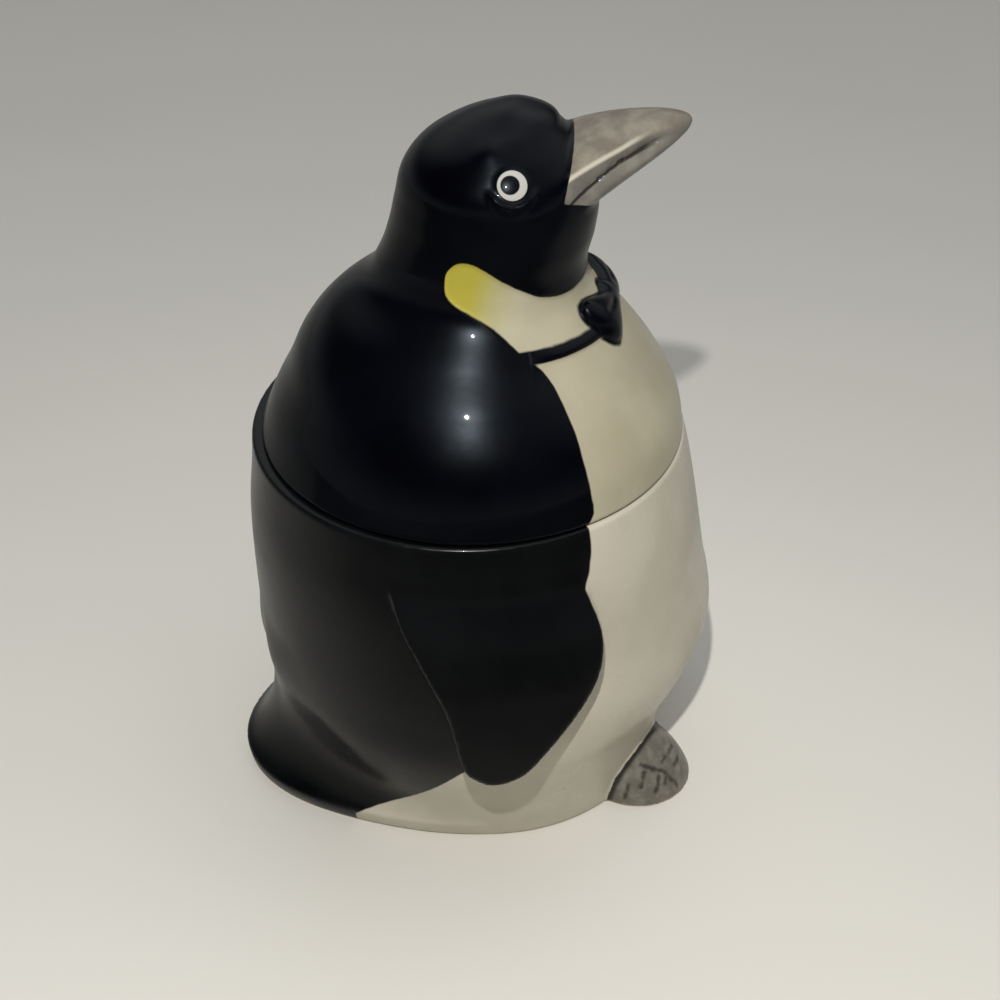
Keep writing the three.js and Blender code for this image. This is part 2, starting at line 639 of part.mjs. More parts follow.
// Neck band: a raised ribbon round the front of the collar
function neckBand() {
  const half = radians(BAND_HALF_ANGLE);
  const rings = levels(-half, half, 14).map((angle) => {
    const [x, y, z] = lidSkin(BOW_LEVEL - BAND_DROP, angle);
    return Array.from({ length: BAND_POINTS }, (_, i) => {
      const turn = 2 * Math.PI * i / BAND_POINTS;
      const out = BAND_RELIEF * Math.sin(turn);
      return [x - out * Math.sin(angle), y - out * Math.cos(angle), z + BAND_WIDTH / 2 * Math.cos(turn)];
    });
  });
  return loft(rings);
}

// Toothed disc along X at the axis height: a tooth, or a gap, faces a way counted from straight down
function gearX(teeth, module, x0, face, y, { facing = 0, gap = false, twist = 0, bore }) {
  const pitch = 2 * Math.PI / teeth;
  const radius = module * teeth / 2;
  const [root, tip] = [radius - 1.15 * module, radius + 0.9 * module];
  const corners = [[-0.31, root], [-0.12, tip], [0.12, tip], [0.31, root]];
  const rings = [-0.5, 0.5].map((share) => {
    const points = [];
    for (let i = 0; i < teeth; i += 1) {
      for (const [offset, r] of corners) {
        const angle = facing + (i + (gap ? 0.5 : 0) + offset) * pitch + twist * share;
        points.push([x0 + (share + 0.5) * face, y + r * Math.sin(angle), AXIS_Z - r * Math.cos(angle)]);
      }
    }
    return points;
  });
  return loft(rings).subtract(barX(bore / 2 + FIT, y, AXIS_Z, x0 - OVERCUT, x0 + face + OVERCUT));
}

// Slotted screw standing on the Z axis with its head up, seat of the head at zero
function screw(length) {
  const [shank, head] = [SCREW_DIAMETER / 2, SCREW_HEAD_DIAMETER / 2];
  const body = turned([
    [0, -length], [shank, -length], [shank, 0], [head, 0], [head, SCREW_HEAD_HEIGHT * 0.6],
    [head * 0.7, SCREW_HEAD_HEIGHT], [0, SCREW_HEAD_HEIGHT],
  ], SCREW_POINTS);
  const half = SCREW_SLOT / 2;
  const slot = box(-head, head, -half, half, SCREW_HEAD_HEIGHT / 2, SCREW_HEAD_HEIGHT + OVERCUT);
  return body.subtract(slot);
}

const screwHole = (x, y, z0, z1) => barZ(SCREW_DIAMETER / 2 + FIT, x, y, z0, z1);

// Base plate: a disc with holes for the key, the plunger and the screws
function basePlate() {
  const [low, high] = [PLATE_BOTTOM - OVERCUT, PLATE_TOP + OVERCUT];
  const disc = barZ(PLATE_RADIUS, 0, 0, PLATE_BOTTOM, PLATE_TOP, ROUND_POINTS);
  const keyHole = barZ(KEY_HUB_DIAMETER / 2 + RUNNING_GAP, BARREL_X, CYLINDER_Y, low, high);
  const plungerHole = barZ(PLUNGER_DIAMETER / 2 + FIT, PLUNGER_X, WORM_Y, low, high);
  return without(disc, [keyHole, plungerHole, ...LEG_PLACES.map(([x, y]) => screwHole(x, y, low, high))]);
}

// Seal: a soft ring that grips the foot's wall and holds the plate
function sealRing() {
  const [inner, outer] = [PLATE_RADIUS + RING_CLEARANCE, PLATE_RADIUS + RING_CLEARANCE + SEAL_WIDTH];
  const round = SEAL_WIDTH / 4;
  return turned([
    [inner, PLATE_BOTTOM], [outer - round, PLATE_BOTTOM], [outer, PLATE_BOTTOM + round],
    [outer, PLATE_TOP - round], [outer - round, PLATE_TOP], [inner, PLATE_TOP], [inner, PLATE_BOTTOM],
  ], ROUND_POINTS);
}

// Bedplate: a die-cast plate on three legs, with the comb's anvil and the cylinder's post
function bedplate() {
  const disc = barZ(BED_RADIUS, 0, 0, BED_BOTTOM, BED_TOP, ROUND_POINTS);
  const bounds = box(
    -MOVEMENT_LENGTH / 2, BED_RADIUS, WORM_Y - FAN_DIAMETER / 2 - RUNNING_GAP, COMB_BACK_Y + BED_MARGIN,
    BED_BOTTOM - OVERCUT, BED_TOP + OVERCUT,
  );
  const legs = LEG_PLACES.map(([x, y]) => barZ(LEG_DIAMETER / 2, x, y, PLATE_TOP + SEAT, BED_TOP));
  const root = BED_TOP - BED_THICKNESS / 2;
  const anvil = box(COMB_X0, COMB_X1, COMB_ROOT_Y + RUNNING_GAP, COMB_BACK_Y, root, COMB_BOTTOM - SEAT);
  const half = CYLINDER_ARBOR_DIAMETER / 2 + BEARING_MARGIN;
  const postEnd = POST_X + POST_THICKNESS;
  const post = box(POST_X, postEnd, CYLINDER_Y - half, CYLINDER_Y + half, root, AXIS_Z + half);
  const through = (diameter, x, y) => barZ(diameter / 2 + FIT, x, y, BED_BOTTOM - OVERCUT, BED_TOP + OVERCUT);
  const cuts = [
    through(ARBOR_DIAMETER, BARREL_X, CYLINDER_Y),
    through(WORM_SHAFT_DIAMETER, WORM_X, WORM_Y),
    through(PLUNGER_DIAMETER, PLUNGER_X, WORM_Y),
    through(SCREW_DIAMETER, ...CLICK_SCREW_PLACE),
    barX(CYLINDER_ARBOR_DIAMETER / 2 + FIT, CYLINDER_Y, AXIS_Z, POST_X - OVERCUT, postEnd + OVERCUT),
    ...BRACKET_SCREW_PLACES.map(([x, y]) => through(SCREW_DIAMETER, x, y)),
    ...LEG_PLACES.map(([x, y]) => screwHole(x, y, PLATE_TOP, PLATE_TOP + SCREW_BITE + OVERCUT)),
    ...COMB_SCREW_PLACES.map(([x, y]) => screwHole(x, y, COMB_BOTTOM - SCREW_BITE - OVERCUT, COMB_BOTTOM)),
  ];
  return without(union([disc.intersect(bounds), ...legs, anvil, post]), cuts);
}

// Barrel: a shallow cup that holds the mainspring
function springBarrel() {
  const [outer, inner] = [BARREL_DIAMETER / 2, BARREL_DIAMETER / 2 - BARREL_WALL];
  const cup = barZ(outer, 0, 0, BARREL_BASE, CROWN_BASE - SEAT, ROUND_POINTS);
  const room = barZ(inner, 0, 0, BARREL_BASE + BARREL_WALL, CROWN_BASE, ROUND_POINTS);
  const bore = barZ(ARBOR_DIAMETER / 2 + FIT, 0, 0, BARREL_BASE - OVERCUT, CROWN_ROOT);
  return without(cup, [room, bore]).translate([BARREL_X, CYLINDER_Y, 0]);
}

// Crown wheel: a ring on the barrel's rim with upright teeth, a gap facing the cylinder's pinion
function crownWheel() {
  const [outer, inner] = [BARREL_DIAMETER / 2, BARREL_DIAMETER / 2 - CROWN_FACE];
  const sections = [];
  const profile = [[0.2, CROWN_ROOT], [0.39, CROWN_TIP], [0.61, CROWN_TIP], [0.8, CROWN_ROOT]];
  for (let i = 0; i < CROWN_TEETH; i += 1) {
    for (const [offset, top] of profile) {
      const angle = (i + offset) * 2 * Math.PI / CROWN_TEETH;
      sections.push([[inner, CROWN_BASE], [outer, CROWN_BASE], [outer, top], [inner, top]]
        .map(([r, z]) => [BARREL_X + r * Math.cos(angle), CYLINDER_Y + r * Math.sin(angle), z]));
    }
  }
  return sweepRound(sections);
}

function barrelCover() {
  const radius = BARREL_DIAMETER / 2 - CROWN_FACE - RING_CLEARANCE;
  const disc = barZ(radius, 0, 0, CROWN_BASE, CROWN_ROOT, ROUND_POINTS);
  const bore = barZ(ARBOR_DIAMETER / 2 + FIT, 0, 0, CROWN_BASE - OVERCUT, CROWN_ROOT + OVERCUT);
  return disc.subtract(bore).translate([BARREL_X, CYLINDER_Y, 0]);
}

// Mainspring: a flat strip wound in a spiral from the arbor to the barrel's wall
function mainspring() {
  const first = ARBOR_DIAMETER / 2 + 4 * FIT + SPRING_STRIP / 2;
  const last = BARREL_DIAMETER / 2 - BARREL_WALL - RING_CLEARANCE - SPRING_STRIP / 2;
  const steps = SPRING_TURNS * 12;
  const low = BARREL_BASE + BARREL_WALL + RING_CLEARANCE;
  const high = CROWN_BASE - RING_CLEARANCE;
  const rings = levels(0, 1, steps).map((share) => {
    const angle = share * SPRING_TURNS * 2 * Math.PI;
    const radius = first + (last - first) * share;
    const [inner, outer] = [radius - SPRING_STRIP / 2, radius + SPRING_STRIP / 2];
    return [[inner, low], [outer, low], [outer, high], [inner, high]]
      .map(([r, z]) => [BARREL_X + r * Math.cos(angle), CYLINDER_Y + r * Math.sin(angle), z]);
  });
  return loft(rings);
}

// Winding arbor: from the key's socket through the ratchet, the bedplate and the barrel
function windingArbor() {
  const [low, high] = [KEY_TOP - KEY_SOCKET_DEPTH + SEAT, CROWN_ROOT + RUNNING_GAP];
  return barZ(ARBOR_DIAMETER / 2, BARREL_X, CYLINDER_Y, low, high);
}

function ratchetWheel() {
  const [tip, root] = [RATCHET_DIAMETER / 2, RATCHET_DIAMETER / 2 - RATCHET_DEPTH];
  const rings = [RATCHET_BASE, RATCHET_BASE + RATCHET_THICKNESS].map((z) => {
    const points = [];
    for (let i = 0; i < RATCHET_TEETH; i += 1) {
      for (const [offset, r] of [[0, root], [0.1, tip], [0.25, tip]]) {
        const angle = (i + offset) * 2 * Math.PI / RATCHET_TEETH;
        points.push([BARREL_X + r * Math.cos(angle), CYLINDER_Y + r * Math.sin(angle), z]);
      }
    }
    return points;
  });
  const [low, high] = [RATCHET_BASE - OVERCUT, RATCHET_BASE + RATCHET_THICKNESS + OVERCUT];
  return loft(rings).subtract(barZ(ARBOR_DIAMETER / 2 + FIT, BARREL_X, CYLINDER_Y, low, high));
}

// Click spring: a leaf that hangs from a screwed tab, with its tip against the ratchet
function clickSpring() {
  const [x, y] = CLICK_SCREW_PLACE;
  const reach = RATCHET_DIAMETER / 2 + PIN_GAP;
  const angle = radians(CLICK_ANGLE);
  const tip = new THREE.Vector2(BARREL_X + reach * Math.cos(angle), CYLINDER_Y + reach * Math.sin(angle));
  const along = tip.clone().sub(new THREE.Vector2(x, y)).normalize();
  const side = new THREE.Vector2(-along.y, along.x);
  const place = (ahead, across) =>
    new THREE.Vector2(x, y).addScaledVector(along, ahead).addScaledVector(side, across);
  const start = SCREW_HEAD_DIAMETER / 2 + RUNNING_GAP;
  const half = CLICK_STRIP / 2;
  const back = tip.clone().addScaledVector(side, CLICK_STRIP);
  const strip = new THREE.Shape([place(start, half), back, tip, place(start, -half)]);
  const leaf = extruded(strip, BED_BOTTOM - SEAT - RATCHET_BASE).translate([0, 0, RATCHET_BASE]);
  const wide = SCREW_HEAD_DIAMETER / 2;
  const end = start + CLICK_TAB;
  const corners = [place(-wide, wide), place(end, wide), place(end, -wide), place(-wide, -wide)];
  const tab = extruded(new THREE.Shape(corners), CLICK_TAB).translate([0, 0, BED_BOTTOM - SEAT - CLICK_TAB]);
  return leaf.add(tab).subtract(screwHole(x, y, RATCHET_BASE - OVERCUT, BED_BOTTOM));
}

// Winding key: a butterfly of two open wings on a tapped hub
function windingKey() {
  const half = KEY_SPAN / 2;
  const [low, high] = [KEY_TABLE_CLEARANCE, KEY_TABLE_CLEARANCE + KEY_BLADE_HEIGHT];
  const [middle, tall] = [(low + high) / 2, (high - low) / 2];
  const blade = new THREE.Shape();
  blade.moveTo(-half, middle);
  blade.bezierCurveTo(-half, high + tall * 0.2, -half * 0.45, high, 0, middle + tall * 0.55);
  blade.bezierCurveTo(half * 0.45, high, half, high + tall * 0.2, half, middle);
  blade.bezierCurveTo(half, low - tall * 0.15, half * 0.45, low, 0, middle - tall * 0.55);
  blade.bezierCurveTo(-half * 0.45, low, -half, low - tall * 0.15, -half, middle);
  for (const side of [-1, 1]) {
    const eye = new THREE.Path();
    eye.absellipse(side * half * 0.66, middle, half * 0.17, tall * 0.5, 0, 2 * Math.PI);
    blade.holes.push(eye);
  }
  const wings = extruded(blade, KEY_BLADE).rotate([90, 0, 0]).translate([0, KEY_BLADE / 2, 0]);
  const hub = barZ(KEY_HUB_DIAMETER / 2, 0, 0, low + tall * 0.3, KEY_TOP);
  const bore = barZ(ARBOR_DIAMETER / 2 + FIT, 0, 0, KEY_TOP - KEY_SOCKET_DEPTH, KEY_TOP + OVERCUT);
  return wings.add(hub).subtract(bore).translate([BARREL_X, CYLINDER_Y, 0]);
}

// Tune cylinder: a thin tube set with pins, with an end disc that sits on the arbor
function tuneCylinder() {
  const [radius, end] = [CYLINDER_DIAMETER / 2, CYLINDER_X + CYLINDER_LENGTH];
  const pins = [];
  for (let note = 0; note < NOTES; note += 1) {
    for (let k = 0; k < PINS_PER_NOTE; k += 1) {
      const step = (note * 11 + k * 13 + (note % 4) * k * 3) % PIN_STEPS;
      pins.push(tunePin(COMB_X0 + (note + 0.5) * NOTE_PITCH, 2 * Math.PI * (step + 0.5) / PIN_STEPS));
    }
  }
  const tube = barX(radius, CYLINDER_Y, AXIS_Z, CYLINDER_X, end, ROUND_POINTS);
  const room = [CYLINDER_X + CYLINDER_SHELL, end + OVERCUT];
  const inside = barX(radius - CYLINDER_SHELL, CYLINDER_Y, AXIS_Z, ...room, ROUND_POINTS);
  const bore = barX(CYLINDER_ARBOR_DIAMETER / 2 + FIT, CYLINDER_Y, AXIS_Z, CYLINDER_X - OVERCUT, end);
  return union([without(tube, [inside, bore]), ...pins]);
}

function tunePin(x, angle) {
  const half = PIN_WIDTH / 2;
  const rings = [[CYLINDER_DIAMETER / 2 - CYLINDER_SHELL / 2, 1], [PIN_RADIUS, 0.6]].map(([r, size]) =>
    [[-1, -1], [1, -1], [1, 1], [-1, 1]].map(([a, b]) => {
      const turn = angle + b * half * size / r;
      return [x + a * half * size, CYLINDER_Y + r * Math.sin(turn), AXIS_Z - r * Math.cos(turn)];
    }));
  return loft(rings);
}

function cylinderArbor() {
  const [start, end] = [PINION_X - RUNNING_GAP, BRACKET_X + BRACKET_THICKNESS + RING_CLEARANCE];
  return barX(CYLINDER_ARBOR_DIAMETER / 2, CYLINDER_Y, AXIS_Z, start, end);
}

function cylinderPinion() {
  const bore = CYLINDER_ARBOR_DIAMETER;
  return gearX(PINION_TEETH, CROWN_MODULE, PINION_X, CROWN_FACE, CYLINDER_Y, { bore });
}

function cylinderWheel() {
  const mesh = { facing: -Math.PI / 2, gap: true, bore: CYLINDER_ARBOR_DIAMETER };
  return gearX(WHEEL_TEETH, TRAIN_MODULE, WHEEL_X, TRAIN_FACE, CYLINDER_Y, mesh);
}

// Comb: a hard steel plate slit into tuned teeth, longest in the bass
function comb() {
  const edgePoints = [[COMB_X0, COMB_BACK_Y], [COMB_X0, COMB_TIP_Y]];
  for (let note = 0; note + 1 < NOTES; note += 1) {
    const root = COMB_TIP_Y + COMB_LONGEST + (COMB_SHORTEST - COMB_LONGEST) * note / (NOTES - 1);
    const x = COMB_X0 + (note + 1) * NOTE_PITCH;
    edgePoints.push([x - COMB_SLOT / 2, COMB_TIP_Y], [x - COMB_SLOT / 2, root]);
    edgePoints.push([x + COMB_SLOT / 2, root], [x + COMB_SLOT / 2, COMB_TIP_Y]);
  }
  edgePoints.push([COMB_X1, COMB_TIP_Y], [COMB_X1, COMB_BACK_Y]);
  const shape = new THREE.Shape(edgePoints.map(([x, y]) => new THREE.Vector2(x, y)));
  const plate = extruded(shape, COMB_THICKNESS).translate([0, 0, COMB_BOTTOM]);
  const [low, high] = [COMB_BOTTOM - OVERCUT, COMB_BOTTOM + COMB_THICKNESS + OVERCUT];
  return without(plate, COMB_SCREW_PLACES.map(([x, y]) => screwHole(x, y, low, high)));
}

// Governor bracket: two ears and a bridge, folded from one strip, with two screwed tabs
function governorBracket() {
  const foot = BED_TOP + SEAT;
  const end = BRACKET_END_X + BRACKET_THICKNESS;
  const ear = (x, y, top) => box(x, x + BRACKET_THICKNESS, BRACKET_FRONT_Y, y, foot, top);
  const largeEdge = CYLINDER_ARBOR_DIAMETER / 2 + BEARING_MARGIN;
  const smallEdge = SMALL_ARBOR_DIAMETER / 2 + BEARING_MARGIN;
  const bridgeBack = WORM_Y + WORM_SHAFT_DIAMETER / 2 + BEARING_MARGIN;
  const tab = (x0, x1, y) => box(x0, x1, y, y + TAB_LENGTH, foot, foot + BRACKET_THICKNESS);
  const strips = [
    ear(BRACKET_X, CYLINDER_Y + largeEdge, AXIS_Z + largeEdge),
    ear(BRACKET_X, bridgeBack, BRIDGE_TOP),
    ear(BRACKET_END_X, SMALL_ARBOR_Y + TAB_LENGTH, AXIS_Z + smallEdge),
    ear(BRACKET_END_X, bridgeBack, BRIDGE_TOP),
    box(BRACKET_X, end, BRACKET_FRONT_Y, bridgeBack, BRIDGE_BOTTOM, BRIDGE_TOP),
    tab(BRACKET_X - TAB_LENGTH, BRACKET_X + BRACKET_THICKNESS, BRACKET_FRONT_Y),
    tab(BRACKET_END_X, end + TAB_LENGTH, SMALL_ARBOR_Y),
  ];
  const [before, after] = [BRACKET_X - OVERCUT, BRACKET_X + BRACKET_THICKNESS + OVERCUT];
  return without(union(strips), [
    barX(CYLINDER_ARBOR_DIAMETER / 2 + FIT, CYLINDER_Y, AXIS_Z, before, after),
    barX(SMALL_ARBOR_DIAMETER / 2 + FIT, SMALL_ARBOR_Y, AXIS_Z, before, end + OVERCUT),
    barZ(WORM_SHAFT_DIAMETER / 2 + FIT, WORM_X, WORM_Y, BRIDGE_BOTTOM - OVERCUT, BRIDGE_TOP + OVERCUT),
    ...BRACKET_SCREW_PLACES.map(([x, y]) => screwHole(x, y, foot - OVERCUT, AXIS_Z)),
  ]);
}

function smallArbor() {
  const end = BRACKET_END_X + BRACKET_THICKNESS + RING_CLEARANCE;
  return barX(SMALL_ARBOR_DIAMETER / 2, SMALL_ARBOR_Y, AXIS_Z, WHEEL_X, end);
}

function smallPinion() {
  const mesh = { facing: Math.PI / 2, bore: SMALL_ARBOR_DIAMETER };
  return gearX(SMALL_PINION_TEETH, TRAIN_MODULE, WHEEL_X, TRAIN_FACE, SMALL_ARBOR_Y, mesh);
}

function wormWheel() {
  const slope = WORM_LEAD / (2 * Math.PI * WORM_PITCH_RADIUS);
  const twist = slope * TRAIN_FACE / WORM_WHEEL_RADIUS;
  const mesh = { facing: -Math.PI / 2, twist, bore: SMALL_ARBOR_DIAMETER };
  return gearX(WORM_WHEEL_TEETH, WORM_MODULE, WORM_WHEEL_X, TRAIN_FACE, SMALL_ARBOR_Y, mesh);
}

// Worm shaft: a two-start worm between a lower and an upper pivot
function wormShaft() {
  const steps = Math.round(WORM_LENGTH / WORM_LEAD * 14);
  const rings = levels(-WORM_LENGTH / 2, WORM_LENGTH / 2, steps).map((rise) => {
    const turn = 2 * Math.PI * rise / WORM_LEAD;
    return Array.from({ length: OVAL_POINTS }, (_, i) => {
      const angle = 2 * Math.PI * i / OVAL_POINTS;
      const r = WORM_PITCH_RADIUS + WORM_DEPTH_SHARE * WORM_MODULE * Math.cos(WORM_STARTS * angle);
      return [WORM_X + r * Math.cos(angle + turn), WORM_Y + r * Math.sin(angle + turn), AXIS_Z + rise];
    });
  });
  const shaft = barZ(WORM_SHAFT_DIAMETER / 2, WORM_X, WORM_Y, BED_TOP - BED_THICKNESS / 2, BRIDGE_TOP);
  return loft(rings).add(shaft);
}

// Governor fan: two blades on a hub, spun by the worm to slow the tune by air drag
function governorFan() {
  const [reach, half] = [FAN_DIAMETER / 2, FAN_BLADE / 2];
  const hub = barZ(WORM_SHAFT_DIAMETER / 2 + FAN_HUB_WALL, WORM_X, WORM_Y, FAN_BASE, FAN_TOP);
  const blades = box(WORM_X - reach, WORM_X + reach, WORM_Y - half, WORM_Y + half, FAN_BASE, FAN_TOP);
  const web = barZ(reach - BRAKE_RIM, WORM_X, WORM_Y, FAN_BASE, FAN_BASE + FAN_BLADE);
  const bore = barZ(WORM_SHAFT_DIAMETER / 2 + FIT, WORM_X, WORM_Y, FAN_BASE - OVERCUT, FAN_TOP + OVERCUT);
  return union([hub, blades, web]).subtract(bore);
}

// Stop plunger: a turned pin with a rounded foot and a collar for its spring
function stopPlunger() {
  const [radius, collar, top] = [PLUNGER_DIAMETER / 2, PLUNGER_COLLAR_DIAMETER / 2, FAN_BASE - BRAKE_GAP];
  return turned([
    [0, 0], [radius * 0.6, 0], [radius, radius * 0.5], [radius, COLLAR_BASE], [collar, COLLAR_BASE],
    [collar, COLLAR_TOP], [radius, COLLAR_TOP], [radius, top], [0, top],
  ]).translate([PLUNGER_X, WORM_Y, 0]);
}

// Plunger spring: a coil between the plunger's collar and the bedplate
function plungerSpring() {
  const radius = PLUNGER_DIAMETER / 2 + RING_CLEARANCE + COIL_WIRE / 2;
  const [low, high] = [COLLAR_TOP + SEAT + COIL_WIRE / 2, BED_BOTTOM - SEAT - COIL_WIRE / 2];
  const rings = levels(0, 1, COIL_TURNS * 8).map((share) => {
    const angle = share * COIL_TURNS * 2 * Math.PI;
    return Array.from({ length: COIL_POINTS }, (_, i) => {
      const turn = 2 * Math.PI * i / COIL_POINTS;
      const r = radius + COIL_WIRE / 2 * Math.cos(turn);
      const z = low + (high - low) * share + COIL_WIRE / 2 * Math.sin(turn);
      return [PLUNGER_X + r * Math.cos(angle), WORM_Y + r * Math.sin(angle), z];
    });
  });
  return loft(rings);
}

// The assembly
const musicBox = new THREE.Group();
musicBox.name = 'penguin_music_box';

function add(name, body, [color, roughness, metalness]) {
  const material = new THREE.MeshStandardMaterial({ color, roughness, metalness });
  const mesh = new THREE.Mesh(geometryOf(body), material);
  mesh.name = name;
  musicBox.add(mesh);
}

function addScrews(name, places, length, seat, flipped) {
  places.forEach(([x, y], i) => {
    const body = screw(length).rotate([flipped ? 180 : 0, 0, 0]).translate([x, y, seat]);
    add(places.length > 1 ? `${name}_${i + 1}` : name, body, STEEL);
  });
}

add('jar_body', jarBody(), GLAZE.jar);
add('lid', lid(), GLAZE.lid);
add('base_plate', basePlate(), [0x3a352c, 0.6, 0]);
add('seal_ring', sealRing(), [0x1c1c1c, 0.8, 0]);
add('bedplate', bedplate(), ZINC);
addScrews('movement_screw', LEG_PLACES, PLATE_THICKNESS + SCREW_BITE, PLATE_BOTTOM - SEAT, true);
add('spring_barrel', springBarrel(), BRASS);
add('crown_wheel', crownWheel(), BRASS);
add('barrel_cover', barrelCover(), BRASS);
add('mainspring', mainspring(), SPRING_STEEL);
add('winding_arbor', windingArbor(), STEEL);
add('ratchet_wheel', ratchetWheel(), STEEL);
add('click_spring', clickSpring(), SPRING_STEEL);
const clickSeat = BED_BOTTOM - 2 * SEAT - CLICK_TAB;
addScrews('click_screw', [CLICK_SCREW_PLACE], CLICK_TAB + BED_THICKNESS, clickSeat, true);
add('winding_key', windingKey(), BRASS);
add('tune_cylinder', tuneCylinder(), BRASS);
add('cylinder_arbor', cylinderArbor(), STEEL);
add('cylinder_pinion', cylinderPinion(), BRASS);
add('cylinder_wheel', cylinderWheel(), BRASS);
add('comb', comb(), SPRING_STEEL);
const combSeat = COMB_BOTTOM + COMB_THICKNESS + SEAT;
addScrews('comb_screw', COMB_SCREW_PLACES, COMB_THICKNESS + SCREW_BITE, combSeat, false);
add('governor_bracket', governorBracket(), STEEL);
const bracketSeat = BED_TOP + BRACKET_THICKNESS + 2 * SEAT;
addScrews('bracket_screw', BRACKET_SCREW_PLACES, BRACKET_THICKNESS + BED_THICKNESS, bracketSeat, false);
add('governor_arbor', smallArbor(), STEEL);
add('governor_pinion', smallPinion(), BRASS);
add('worm_wheel', wormWheel(), BRASS);
add('worm_shaft', wormShaft(), STEEL);
add('governor_fan', governorFan(), [0x33363a, 0.5, 0.6]);
add('stop_plunger', stopPlunger(), BRASS);
add('plunger_spring', plungerSpring(), SPRING_STEEL);

export default musicBox;
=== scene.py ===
import json
import math

import bpy
import numpy as np
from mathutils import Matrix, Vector


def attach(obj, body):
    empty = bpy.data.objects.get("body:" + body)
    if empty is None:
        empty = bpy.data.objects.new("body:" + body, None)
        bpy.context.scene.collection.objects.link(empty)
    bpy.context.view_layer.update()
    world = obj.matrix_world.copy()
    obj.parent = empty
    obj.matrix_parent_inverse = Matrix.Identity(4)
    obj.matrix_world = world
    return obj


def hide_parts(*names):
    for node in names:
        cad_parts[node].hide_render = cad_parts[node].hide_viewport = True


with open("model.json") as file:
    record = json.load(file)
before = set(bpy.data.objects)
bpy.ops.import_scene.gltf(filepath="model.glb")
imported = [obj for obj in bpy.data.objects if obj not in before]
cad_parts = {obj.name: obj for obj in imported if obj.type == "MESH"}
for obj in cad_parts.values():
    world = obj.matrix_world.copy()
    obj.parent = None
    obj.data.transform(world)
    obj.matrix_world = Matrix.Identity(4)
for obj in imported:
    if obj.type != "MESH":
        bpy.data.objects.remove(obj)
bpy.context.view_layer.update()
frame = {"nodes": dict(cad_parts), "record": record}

# All sizes are in millimetres until a mesh is made
MM = 0.001

# Castings
JAR_HEIGHT = 110.6
LID_BASE = 111.0
LID_HEIGHT = 87.9
WALL = 5.0
EDGE_ROUND = 1.0
FLANGE_DEPTH = 7.0
FLANGE_LAP = 3.0
FLANGE_OUTER = 5.9
FLANGE_INNER = 9.5
SHOULDER_SOLID = 9.0
HEAD_SOLID = 13.0
FLOOR_TOP = 46.278
CHAMBER_TOP = 41.278
LEDGE_TOP = 18.5
PLATE_TOP = 14.5
PLATE_SEAT = 0.1
RECESS_RADIUS = 42.0
THROAT_RADIUS = 37.8
THROAT_LAP = 1.0
FLOOR_CORNER = 5.0
CHAMBER_CORNER = 0.6
THROAT_BLEND = 0.5
CHAMBER_EDGE = 0.8
HEAD_HOLLOW_CORNER = 4.0
FLANGE_BLEND = 0.8
LID_HOLLOW_EDGE = 1.2

# Outlines: share of the height, then the reach to the front, to the back and to each side
JAR_OUTLINE = np.array([
    (0, 56, 46, 50.2), (0.14, 57.4, 50.5, 54.4), (0.26, 60.2, 55.5, 58.8),
    (0.36, 65.2, 59.2, 61.6), (0.47, 68.6, 61, 62.6), (0.63, 65.6, 61.4, 62.5),
    (0.81, 62, 60.8, 61.6), (0.94, 59, 59, 59.8), (1, 57.2, 58.4, 58.6),
])
LID_OUTLINE = np.array([
    (0, 57, 56, 57.8), (0.1, 55.2, 52.2, 55), (0.2, 50.4, 47.6, 50.6),
    (0.3, 44.3, 43.4, 43.8), (0.4, 37, 36.4, 35.4), (0.49, 31, 26.6, 28.4),
    (0.56, 30, 22.6, 26.2), (0.65, 31.6, 19.6, 25.2), (0.74, 32.2, 17.7, 24.6),
    (0.82, 30.6, 15.8, 23.2), (0.89, 27.2, 11.2, 19), (0.945, 22.8, 3.8, 13.4),
    (0.98, 19.8, -3.4, 8.1), (1, 12.2, -11.2, 0.8),
])

# Flippers: leaf outline as places along Y and heights, in order from the front of the shoulder
FLIPPER_OUTLINE = np.array([
    (-24.5, 108), (-31.3, 94.5), (-35.8, 82), (-33.4, 69.3), (-21.5, 52.3), (-15.5, 45.6), (-8.2, 43.1),
    (-3.6, 44.8), (0.2, 49.2), (4.2, 66.2), (10, 78.8), (16.7, 91.7), (19.5, 108),
])
FLIPPER_RELIEF = 6.0
FLIPPER_TIP_FLARE = 3.4
FLIPPER_DRAFT = 38.0
FLIPPER_SINK = 1.6
FLIPPER_SINK_RUN = 26.0
FLIPPER_UNDERCUT = 0.4
FLIPPER_UNDERCUT_DEPTH = 10.0
FLIPPER_EDGE = 1.4
FLIPPER_BLEND = 0.9

# Tail skirt and feet
TAIL_REACH = 70.0
TAIL_WIDTH = 66.0
TAIL_TURN = 17.0
TAIL_ROOT = 26.0
TAIL_HEIGHT = 34.0
TAIL_LIP_HEIGHT = 6.0
TAIL_LIP_ROUND = 1.8
TAIL_RUN_IN = 22.0
TAIL_HOLLOW = 0.75
TAIL_SQUARENESS = 2.0
TAIL_TOP_MARGIN = 2.0
TAIL_TOP_ROUND = 6.0
TAIL_BLEND = 25.0
FOOT_SIZE = (31.0, 33.0, 19.5)
FOOT_PLACE = (-23.4, -49.0)
FOOT_TOE_OUT = 2.0
FOOT_LEAN = 7.0
FOOT_BLEND = 1.6

